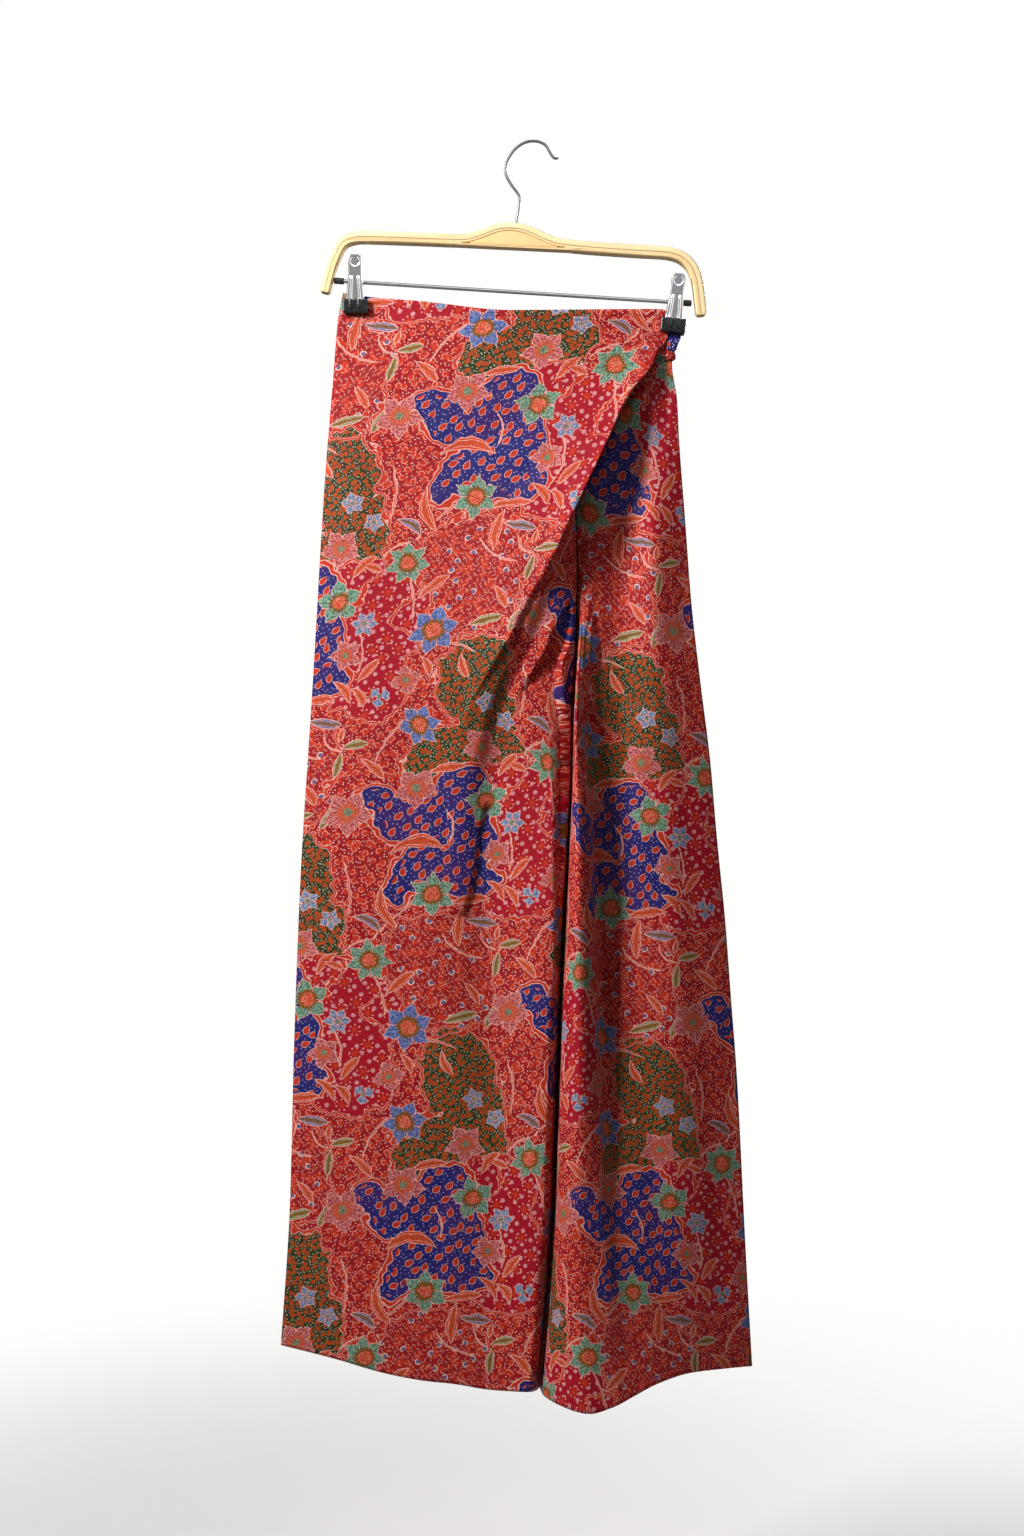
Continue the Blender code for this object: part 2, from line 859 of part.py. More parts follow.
def lever(name, frame, side, foot_depth):
    """A pressed lever: round top, narrow neck and two flutes down to the pad."""
    profile = (
        # down from the top, half width as a share of the full, depth beyond the foot
        (0.0, 0.30, 5.4),
        (1.2, 0.62, 5.6),
        (3.2, 0.88, 5.7),
        (6.5, 1.0, 5.2),
        (14.0, 1.0, 4.2),
        (22.0, 1.02, 3.0),
        (27.0, 1.1, 2.4),
        (34.0, 1.2, 1.6),
        (CLIP_LENGTH, CLIP_FOOT_WIDTH / CLIP_TOP_WIDTH, 0.0),
        (CLIP_LENGTH + LEVER_IN_PAD, CLIP_FOOT_WIDTH / CLIP_TOP_WIDTH, 0.0),
    )
    columns = (-1.0, -0.72, -0.5, -0.28, 0.0, 0.28, 0.5, 0.72, 1.0)
    fluted = (-0.5, 0.5)
    points = []
    for down, share, out in profile:
        row = []
        for column in columns:
            raised = FLUTE_HEIGHT if column in fluted and down > 24 else 0.0
            edge = -0.8 if abs(column) == 1.0 else 0.0
            half = share * CLIP_TOP_WIDTH / 2
            depth = foot_depth + side * (out + raised + edge)
            row.append(frame @ (Vector((column * half, depth, -down)) * MM))
        points.append(row)
    return sheet(name, points, CLIP_SHEET, (STEEL, 0.2, 1.0))


def block(name, size, move, edge=0.0):
    """A box of (across, deep, high) in millimetres, moved into place, with rounded edges."""
    form = bmesh.new()
    bmesh.ops.create_cube(form, size=1.0)
    bmesh.ops.scale(form, verts=form.verts, vec=Vector(size) * MM)
    if edge:
        bmesh.ops.bevel(
            form, geom=form.edges[:], offset=edge * MM, segments=2, profile=0.5,
            affect="EDGES", material=-1,
        )
    bmesh.ops.transform(form, matrix=move, verts=form.verts)
    mesh = bpy.data.meshes.new(name)
    form.to_mesh(mesh)
    form.free()
    return mesh


def pad(name, frame, side, face):
    """A soft sleeve over the lever's foot, open at its top."""
    centre = face + side * PAD_THICKNESS / 2
    down = CLIP_LENGTH + PAD_HEIGHT / 2
    move = frame @ Matrix.Translation(Vector((0.0, centre, -down)) * MM)
    mesh = block(name, (PAD_WIDTH, PAD_THICKNESS, PAD_HEIGHT), move, edge=1.1)
    shade(mesh)
    obj = keep(name, mesh, (BLACK, 0.6))
    move = frame @ Matrix.Translation(Vector((0.0, centre, -CLIP_LENGTH)) * MM)
    width, depth, reach = SLOT
    slot = block(name + "_slot", (width, depth, 2 * reach), move)
    cut_away(obj, name + "_slot", slot)


def clip(name, top, foot, faces, barrel):
    """Two levers that pivot on a barrel round the rod, and two pads that grip the cloth."""
    start = Vector((top[0], 0.0, -top[1]))
    end = Vector((foot[0], 0.0, -foot[1]))
    down = (end - start).normalized()
    lean = math.atan2(-down.x, -down.z)
    frame = Matrix.Translation(start * MM) @ Matrix.Rotation(lean, 4, "Y")
    for word, side, face in (("front", -1, faces[0]), ("back", 1, faces[1])):
        pad_face = face + side * GAP
        pad(f"{name}_{word}_pad", frame, side, pad_face)
        lever(f"{name}_{word}_lever", frame, side, pad_face + side * PAD_THICKNESS / 2)

    (left, left_drop), (right, right_drop) = ROD_ENDS
    slope = (right_drop - left_drop) / (right - left)
    across = start.x + down.x * ROD_BELOW_CLIP_TOP
    place = Vector((across, 0.0, -(left_drop + (across - left) * slope))) * MM
    run = Vector((1.0, 0.0, -slope)).normalized()
    inner, outer = ROD / 2 + GAP, barrel / 2
    ring = ((inner, 0.0), (outer, 0.0), (outer, BARREL_WIDTH), (inner, BARREL_WIDTH))
    start = place - run * BARREL_WIDTH / 2 * MM
    turned(f"{name}_barrel", ring, start, run, (STEEL, 0.35, 1.0), closed=True)


def main():
    for obj in list(bpy.data.objects):
        bpy.data.objects.remove(obj, do_unlink=True)
    garment = bpy.data.collections.new("wrap_pants")
    bpy.context.scene.collection.children.link(garment)
    bpy.context.scene.collection.children.link(bpy.data.collections.new("cutters"))
    cloth()
    tie()
    bow()
    hook()
    rod()
    for row in CLIPS:
        clip(*row)


main()
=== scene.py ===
"""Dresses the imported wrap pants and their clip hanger: printed cotton, wood, plated steel.

Metres, +Z up, +X to the right of the front view, -Y towards the viewer. The origin is the inside
of the hook's top. The tables are in millimetres, seen from VIEW_DISTANCE in front: "across" is to
the right of the hook, "drop" is below it, and "depth" is true, negative towards the viewer.
"""

import math

import bmesh
import bpy
import numpy as np
from mathutils import Matrix, Vector, noise


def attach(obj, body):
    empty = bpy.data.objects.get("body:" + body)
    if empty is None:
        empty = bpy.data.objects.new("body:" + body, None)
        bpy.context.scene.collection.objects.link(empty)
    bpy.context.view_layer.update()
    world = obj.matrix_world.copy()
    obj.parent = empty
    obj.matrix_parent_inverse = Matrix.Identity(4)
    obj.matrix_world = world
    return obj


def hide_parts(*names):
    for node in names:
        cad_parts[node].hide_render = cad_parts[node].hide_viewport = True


bl_info = {
    "name": "Wrap pants on a clip hanger",
    "version": (1, 0, 0),
    "blender": (4, 5, 0),
    "location": "3D View > Sidebar > Wrap pants",
    "description": "Printed cotton wrap pants that hang from a bent-wood hanger",
    "category": "Object",
}

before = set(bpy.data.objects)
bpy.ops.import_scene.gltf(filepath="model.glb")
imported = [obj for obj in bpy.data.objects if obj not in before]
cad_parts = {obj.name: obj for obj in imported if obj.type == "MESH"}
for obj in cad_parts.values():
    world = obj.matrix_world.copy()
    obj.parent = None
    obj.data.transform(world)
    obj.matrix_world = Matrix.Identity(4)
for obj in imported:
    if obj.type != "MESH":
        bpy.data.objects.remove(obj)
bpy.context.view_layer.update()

MM = 0.001

# The front view: its distance from the bow, its middle, its height there, and the sensor's width
VIEW_DISTANCE = 1900.0
VIEW_ACROSS = -18.0
VIEW_DROP = 624.0
VIEW_HEIGHT = 1536.0
SENSOR = 36.0

# Gap between pieces that lie against each other
GAP = 0.3

# Unevenness of hung cotton: size across, down and in depth, a shift in depth, and height
CRUMPLES = ((46, 130, 60, 0, 0.99), (15, 34, 30, 7, 0.306))
# Creases ease over these distances from a side seam, the waist and the hem
FADE_SIDE = 9.0
FADE_WAIST = 20.0
FADE_HEM = 30.0
# The turned edge at the waist: how far its middle lies below the edge, its half width, its rise
WAIST_FOLD = (3.2, 3.4, 0.25)
WAIST_STITCH = 6.4
HEM_STITCH = 5.2
# How the rows of the cloth's grid crowd towards the waist
ROW_SPACING = 1.12

# Fold lines of the cloth from waist to hem: (drop, across, depth)
LEFT_SIDE = (
    (149, -187, -0.75), (176, -192, -0.75), (236, -197, -0.75), (336, -205, -0.75),
    (536, -217, -0.75), (736, -229.5, -0.75), (906, -236, -0.75), (1060, -240, -0.75),
    (1201, -249, -0.75),
)
LEFT_HIP = (
    (153, -160, -0.75), (172, -161, -0.9), (240, -165, -6), (480, -172, -12), (800, -182, -15),
    (1214, -198, -18),
)
LEFT_THIGH = (
    (157.5, -106, -4), (260, -108, -11), (480, -118, -18), (800, -130, -23), (1230, -142, -30),
)
LEFT_MIDDLE = (
    (166, -20, -7), (260, -26, -16), (360, -45, -23), (460, -66, -26), (560, -90, -25),
    (760, -100, -26), (1237, -104, -35),
)
RIDGE = (
    (165, 126, -1.5), (190, 128, -1.5), (219, 122, -11), (252, 98, -23), (306, 73, -33),
    (371, 42, -39), (424, 19, -41), (490, -10, -39), (576, -48, -33), (662, -66, -28),
    (770, -74, -27), (920, -76, -30), (1240, -76, -36.5),
)
UNDER_RIDGE = (
    (165, 129, -1.5), (190, 131, -1.5), (219, 124.5, -7), (252, 100.5, -17), (306, 75, -26),
    (371, 46, -31), (424, 30, -31), (490, 8, -29), (576, -30, -23), (662, -44, -22),
    (770, -44, -23.5), (920, -41, -28), (1080, -39, -33.5), (1246, -38, -38.5),
)
INNER_THIGH = (
    (165, 131, -1.5), (190, 134, -1.5), (219, 122.5, -3.5), (252, 98, -10), (306, 71.5, -17),
    (371, 47, -22), (424, 38, -24), (490, 26, -27), (576, 18, -31), (662, 21, -37),
    (770, 22, -42), (920, 17, -45), (1080, 11, -46), (1248, -2, -46),
)
INNER_LIP = (
    (165, 132.5, -1.5), (190, 136, -1.5), (219, 118.5, -2.2), (252, 92, -6.5), (306, 64, -11),
    (371, 46, -14), (424, 44.5, -17), (490, 41, -20), (576, 34.5, -22), (662, 33.5, -25),
    (770, 31.5, -28), (920, 25.5, -30), (1080, 19.5, -31), (1246, 6.5, -30),
)
INNER_SEAM = (
    (165, 134, -1.5), (190, 138, -1.5), (219, 115, -2), (252, 86, -4), (306, 57, -7),
    (371, 45, -8), (424, 46.5, -9), (490, 44.5, -9), (576, 38.5, -7), (662, 37, -6),
    (770, 34, -6), (920, 28, -6), (1080, 22.5, -6), (1244, 8.5, -6),
)

# The right front starts beside the inner seam, this much further (drop, across, depth)
RIGHT_START = (
    (222, 0.8, 1.6), (306, 0.8, 1.6), (371, 1.5, 1.0), (424, 1.8, 0.4), (490, 1.8, 0),
    (1244, 1.8, 0),
)
ROLL_FLANK = (
    (221.5, 118, -0.3), (256, 88, -3), (306, 63, -6), (371, 51, -7.5), (424, 50.5, -10),
    (490, 47.2, -18), (576, 41, -30), (662, 39.6, -34), (770, 36.8, -36), (920, 31, -38),
    (1080, 25.5, -40), (1250, 12.5, -40),
)
ROLL_CREST = (
    (221, 121, -0.3), (256, 93, -4), (306, 70, -6.5), (371, 58, -8.5), (424, 54, -13),
    (490, 49.5, -26), (576, 45.5, -45), (662, 48, -51), (770, 49.5, -55), (920, 50, -60),
    (1080, 50, -66), (1270, 60, -76),
)
ROLL_BACK = (
    (220.5, 124, -0.3), (256, 99, -5), (306, 79, -7.5), (371, 68, -9.5), (424, 62, -14),
    (490, 55, -25), (576, 52, -39), (662, 57.5, -43), (770, 61.5, -46), (920, 65, -50),
    (1080, 71, -60), (1263, 84, -71),
)
RIGHT_VALLEY = (
    (220, 127, -0.3), (256, 106, -7), (306, 90, -9), (371, 80, -11), (424, 74, -14),
    (490, 63, -18), (576, 59.5, -18), (662, 65.5, -19), (770, 69.5, -20), (920, 75, -27),
    (1080, 87, -47), (1254, 101, -64),
)
RIGHT_THIGH = (
    (219.5, 131, -0.4), (256, 115, -9), (306, 104, -13), (371, 98, -15), (490, 93, -17),
    (662, 94, -20), (770, 97, -22), (920, 102, -28), (1080, 114, -40), (1240, 127, -53),
)
RIGHT_MIDDLE = (
    (219, 134, -0.5), (256, 126, -9), (306, 120, -15), (424, 119, -18), (576, 125, -20),
    (770, 137, -23), (1080, 153, -30), (1229, 160, -35),
)
RIGHT_HIP = (
    (218.5, 138, -0.6), (256, 137, -5), (306, 136, -9), (424, 141, -10), (576, 152, -12),
    (770, 168, -13), (1080, 186, -15), (1225, 191, -18),
)
RIGHT_SIDE = (
    (218, 141, -0.75), (231, 143, -0.75), (256, 147, -0.75), (296, 149, -0.75), (376, 155, -0.75),
    (456, 161, -0.75), (536, 170, -0.75), (616, 180, -0.75), (696, 187, -0.75), (776, 195, -0.75),
    (856, 201, -0.75), (936, 207, -0.75), (1096, 215, -0.75), (1222, 222, -0.75),
)

# The back panels lie nearly flat behind
LEFT_BACK_HIP = (
    (153, -160, 0.75), (172, -161, 0.9), (240, -165, 5), (500, -172, 7), (1212, -196, 7),
)
LEFT_BACK_MIDDLE = ((160, -95, 4), (240, -98, 9), (500, -100, 11), (1228, -125, 12))
LEFT_BACK_INNER = (
    (166, -45, 6), (300, -40, 10), (430, -22, 10), (540, -2, 9), (700, -4, 7), (920, -12, 7),
    (1238, -36, 8),
)
RIGHT_BACK_INNER = (
    (166, 15, 6), (300, 24, 10), (430, 52, 10), (540, 70, 9), (700, 72, 7), (920, 64, 7),
    (1240, 46, 8),
)
RIGHT_BACK_MIDDLE = (
    (166, 75, 4.5), (240, 86, 9), (500, 108, 11), (1232, 128, 12),
)
RIGHT_BACK_HIP = (
    (166, 128, 1.5), (194, 129, 1.6), (240, 130, 5), (500, 142, 7), (1222, 182, 7),
)
RIGHT_BACK_SIDE = (
    (168, 152, 1.5), (192, 150, 1.5), (207, 145, 1.8), (218, 142, 2), (232, 143, 1.6),
    (256, 147, 0.75),
)
CENTRE_BACK = (
    (166, -17, 6), (300, -4, 9), (420, 24, 6), (500, 41, -3), (545, 42, -7),
)
CROTCH_DROP = 545.0
# Backs' inner edges from the front's inner seam, and the right one's lap behind the left one
SEAM_ACROSS = 0.65
SEAM_BEHIND = 0.95
BACK_LAP = (-2.0, 2.8)

# The tie under the right clip: (drop, across, half width, depth)
TIE = (
    (177, 143.6, 7.2, 0), (193, 143.6, 7.2, 0), (200, 142.6, 5.4, -0.6),
    (206.5, 141.6, 4.2, -2.2),
)
KNOT_CENTRE = (212.5, 141.0, -3.4)
KNOT_SIZE = (10.5, 7.6, 11.0)
# The tie's cloth, and the drop from which the clip gathers it
TIE_THICKNESS = 0.9
TIE_GATHERED = 192.0

# Top edge of the upper lamination, left tip to right tip: (across, drop)
BOW_TOP = (
    (-210.4, 148.0), (-206.5, 132.0), (-202.0, 117.0), (-194.0, 100.0), (-186.0, 92.5),
    (-176.0, 89.3), (-164.0, 88.4), (-110.0, 90.2), (-72.0, 91.6), (-60.0, 90.6), (-48.0, 86.6),
    (-33.0, 81.2), (-18.0, 80.0), (-4.0, 82.4), (9.0, 87.6), (21.0, 93.0), (32.0, 96.0),
    (60.0, 99.0), (110.0, 102.4), (134.0, 103.8), (147.0, 106.4), (156.5, 111.0), (165.0, 119.4),
    (170.5, 131.0), (173.5, 145.0), (176.6, 171.5),
)
UPPER_PLY = 5.6
LOWER_PLY = 4.8
SPLIT_PLY = 2.2
CROWN_FOOT = ((-76.0, 102.2), (38.0, 107.7))
SPLIT_LEAST = 0.6
PLATE_LEAST = 1.5
TIP_RADIUS = 3.6
BOW_DEPTH = 12.0
PLATE_DEPTH = 11.0
BOW_STEP = 2.5
INNER_RADIUS = 0.5
BOW_EDGE = 0.4
PLATE_EDGE = 0.3
GLUE = 0.06
WOOD_RIM = 1.7
# Dark glue at the foot of the upper layer and at the top of the lower one: heights from and to
GLUE_ABOVE = (5.15, 5.5)
GLUE_BELOW = (6.25, 5.9)

# Centre of the hook's wire, from its tip to its foot in the bow: (across, drop)
HOOK = (
    (28.6, 14.2), (25.2, 14.4), (22.6, 12.6), (19.8, 8.4), (15.8, 1.6), (9.6, -2.0), (2.4, -2.9),
    (-4.6, -1.6), (-12.0, 2.6), (-18.6, 9.6), (-23.4, 18.6), (-24.6, 26.6), (-22.6, 34.2),
    (-17.4, 42.6), (-12.2, 49.6), (-10.4, 54.6), (-11.6, 66.0), (-13.2, 76.0), (-15.6, 91.0),
)
HOOK_STEP = 1.2
WIRE = 2.8
# Radius of the wire's rounded tip at its first points, as shares of the whole
ROUND_TIP = (0.45, 0.72, 0.88, 0.96, 0.99)
ROD = 3.8
ROD_ENDS = ((-196.0, 136.7), (161.5, 159.4))
CAP_LENGTH = 10.0
CAP_WIDTH = 6.2
CAP_GRIP = 6.0
CAP_PLAY = 0.05

# Clips: name, top and foot of the lever as (across, drop), cloth faces (front, back) at the
# pads, and the barrel's diameter
CLIPS = (
    ("clip_left", (-174.4, 111.0), (-174.4, 156.0), (-1.35, 1.35), 11.2),
    ("clip_right", (148.7, 130.3), (143.6, 175.6), (-2.1, 2.1), 12.6),
)
CLIP_SHEET = 0.9
CLIP_LENGTH = 45.0
ROD_BELOW_CLIP_TOP = 28.5
PAD_WIDTH = 25.0
PAD_HEIGHT = 14.5
PAD_THICKNESS = 5.2
PAD_RADIUS = 1.5
LEVER_IN_PAD = 4.6
BARREL_WIDTH = 9.0
COILS = 7
SPRING_PLAY = 0.15

# A pressed lever: down from its top, half width, depth beyond its foot
LEVER_ROWS = (
    (0.0, 1.4, 5.3), (0.35, 2.6, 5.45), (1.0, 3.9, 5.55), (2.2, 5.2, 5.65), (4.0, 6.1, 5.65),
    (6.5, 6.5, 5.5), (14.0, 6.5, 4.3), (20.0, 6.5, 3.3), (27.0, 7.15, 2.4), (34.0, 7.8, 1.6),
    (45.0, 8.75, 0.0), (49.6, 8.75, 0.0),
)
FLUTE_HALF = 1.35
FLUTE_ACROSS = 4.2
FLUTE_RISE = 1.1
FLUTE_START = 23.0
# How softly the flutes start, and where and how far the lever's sides curl back
FLUTE_RUN_OUT = 2.2
CURL_START = 0.86
CURL_DEPTH = 1.3
# The pressed dimple: down from the top, radius, depth, and the share of it that slopes
DIMPLE = (8.6, 5.0, 0.75, 0.16)

# Creases pressed or hung into the fronts, as (across, drop) to (across, drop), half width, depth
CREASES = (
    (-46, 572, -62, 690, 24, 1.5), (-62, 690, -54, 800, 27, 1.6), (-54, 800, -46, 905, 24, 1.2),
    (125, 218, 42, 371, 9, -2.2), (42, 371, -3, 475, 12, -4.0), (-3, 475, -47, 572, 13, -4.4),
    (-47, 572, -62, 640, 14, -2.0), (26, 470, 16, 700, 25, 6.5), (54, 488, 94, 575, 9, 2.4),
    (96, 600, 98, 790, 8, 1.8), (112, 205, -60, 300, 16, 1.6), (96, 232, -40, 372, 13, 1.3),
    (-150, 210, -120, 420, 26, 1.0), (-150, 520, -168, 800, 22, -1.0),
    (-110, 620, -124, 980, 15, 0.9), (-186, 860, -204, 1180, 12, 0.8),
    (-90, 980, -100, 1215, 12, 1.1), (-20, 660, -26, 1000, 12, -0.9),
    (120, 300, 104, 560, 14, 1.3), (146, 420, 168, 760, 12, 1.0), (128, 700, 146, 1100, 13, -1.1),
    (176, 860, 196, 1180, 10, 0.9), (110, 900, 138, 1200, 9, 0.8),
)

# Hollows of the right leg's front alone, beside the wrap's edge
BESIDE_WRAP = (
    (124, 262, 96, 371, 22, 12.0), (94, 371, 90, 470, 20, 11.0), (90, 470, 92, 640, 16, 4.0),
    (84, 640, 86, 790, 14, 2.5),
)

# Folds of the two plain backs, in the form of the fronts' creases
BACK_CREASES = (
    (-152, 205, -128, 520, 17, 3.8), (-118, 560, -150, 1010, 15, 3.6),
    (-70, 240, -42, 700, 20, -3.4), (-26, 760, -52, 1190, 15, 3.4), (-8, 250, 20, 620, 14, 3.0),
    (56, 300, 66, 860, 18, -3.6), (92, 560, 120, 1130, 15, 3.8), (116, 240, 96, 520, 12, 2.8),
    (156, 720, 182, 1170, 14, 3.2), (-184, 880, -206, 1200, 12, 2.4),
)

# Print: U at the cloth's left side, at its ridge and at its right side, all (drop, U)
U_LEFT = (
    (150, -151), (216, -147), (296, -143), (411, -143), (496, -130), (596, -123), (691, -119),
    (821, -124), (956, -130), (1091, -134), (1206, -137),
)
U_RIDGE = (
    (150, 134), (216, 139), (284, 118), (371, 98), (471, 74), (576, 42), (616, 24), (800, 24),
    (1240, 30),
)
U_RIGHT = (
    (218, 103), (288, 103), (431, 100), (636, 112), (826, 124), (1021, 126), (1206, 131),
)
# How much lower the print lies at the right side, the drop where V starts, and the repeat
V_RIGHT_LAG = ((218, 4), (376, 17), (636, 16), (816, 13), (1021, 5), (1206, 0))
V_START = 296.0
COLUMN = 160.0
HALF_DROP = 198.5

# How far from a field its distance is worked out, and how softly its ovals join
FIELD_REACH = 60.0
FIELD_BLEND = 8.0

# Fields of the print in one column: centre (u, v), half sizes, turn
BLUE_FIELD = (
    (-54, -38, 16, 13, 0), (-20, -18, 36, 24, 0), (20, -38, 30, 33, 0), (30, 6, 29, 38, 0),
    (-6, 26, 26, 22, 0), (-28, 46, 12, 20, 12), (42, 44, 25, 16, -8), (4, 44, 30, 14, 0),
)
OLIVE_FIELD = ((31, 236, 38, 46, 0), (50, 300, 32, 62, 0), (4, 318, 40, 34, -14))
CRIMSON_FIELD = ((-78, 182, 54, 58, 0), (-74, 240, 46, 40, 10), (-104, 150, 40, 30, 0))
SCRIBBLE_FIELD = ((10, 122, 56, 48, 0), (22, 160, 42, 36, 0), (-20, 176, 36, 24, 0))

# Flowers of the print: centre (u, v), radius, turn, petals, colour
SEA, SLATE, PINK, PALE = 0.0, 1.0, 2.0, 3.0
FLOWERS = (
    (2, 57, 23, -90, 6, SEA), (46, -36, 23, -30, 5, SEA), (-55, 123, 23, -96, 7, SEA),
    (-18, 190, 26, -80, 6, SLATE), (-20, 285, 23, -70, 6, SLATE), (-21, -49, 22, -60, 5, PINK),
    (-80, -24, 24, 10, 5, PINK), (62, 17, 17, 30, 5, PINK), (-36, 240, 16, 75, 4, PINK),
    (38, 307, 21, 20, 5, PINK), (-85, 184, 14, -60, 6, PALE), (-60, 257, 11, -20, 3, PALE),
    (46, 262, 12, 40, 5, PALE), (68, 281, 11, 10, 5, PALE),
)

# Leaves and stems of the print: centre (u, v), half length, turn, bend, width, colour
ORANGE, LEAD, OLIVE, STEM = 0.0, 1.0, 2.0, 3.0
LEAVES = (
    (-14, 8, 24, -4, 0.42, 0.26, ORANGE), (28, 89, 20, 96, -0.12, 0.26, ORANGE),
    (37, 63, 20, -8, 0.10, 0.22, ORANGE), (80, 58, 12, 52, 0.35, 0.36, ORANGE),
    (-41, 70, 22, 72, -0.30, 0.24, ORANGE), (-26, 146, 18, -42, 0.05, 0.26, ORANGE),
    (43, 156, 13, 56, 0.10, 0.34, ORANGE), (-97, 126, 14, -50, 0.20, 0.34, ORANGE),
    (-74, 231, 14, -52, 0.10, 0.32, ORANGE), (-96, 251, 14, 48, 0.30, 0.30, ORANGE),
    (-62, 328, 15, 42, 0.12, 0.30, ORANGE), (4, -69, 17, -12, 0.10, 0.26, ORANGE),
    (-18, 226, 11, 62, 0.25, 0.36, ORANGE), (18, 226, 13, 66, -0.25, 0.30, ORANGE),
    (-88, 128, 10, 20, 0.10, 0.36, ORANGE), (50, 85, 16, 8, 0.0, 0.30, LEAD),
    (-57, 85, 14, 30, 0.30, 0.34, LEAD), (79, 107, 12, -12, 0.05, 0.36, OLIVE),
    (66, 127, 13, 98, 0.0, 0.32, OLIVE), (32, 180, 17, -16, 0.05, 0.28, OLIVE),
    (61, 180, 12, 112, 0.10, 0.34, OLIVE), (66, 96, 7, 100, 0.0, 0.42, ORANGE),
    (-30, 79, 30, -44, 0.06, 0.035, STEM), (57, 106, 13, 42, -0.45, 0.06, STEM),
    (-44, 158, 20, 74, 0.10, 0.05, STEM), (-68, 108, 14, -30, 0.20, 0.06, STEM),
    (30, 112, 22, 30, -0.25, 0.04, STEM), (-84, 212, 20, 84, 0.20, 0.045, STEM),
    (0, 205, 26, 8, 0.18, 0.04, STEM), (14, -12, 16, 80, 0.25, 0.05, STEM),
    (-50, 300, 24, -58, 0.15, 0.04, STEM), (84, 250, 26, 86, 0.15, 0.04, STEM),
)


class Value:
    """A shader socket that takes part in sums: + - * / and abs() make Math nodes."""

    def __init__(self, sketch, socket):
        self.sketch, self.socket = sketch, socket

    def __add__(self, other):
        return self.sketch.sum("ADD", self, other)

    def __radd__(self, other):
        return self.sketch.sum("ADD", other, self)

    def __sub__(self, other):
        return self.sketch.sum("SUBTRACT", self, other)

    def __rsub__(self, other):
        return self.sketch.sum("SUBTRACT", other, self)

    def __mul__(self, other):
        return self.sketch.sum("MULTIPLY", self, other)

    def __truediv__(self, other):
        return self.sketch.sum("DIVIDE", self, other)

    def __rtruediv__(self, other):
        return self.sketch.sum("DIVIDE", other, self)

    def __abs__(self):
        return self.sketch.calc("ABSOLUTE", self)


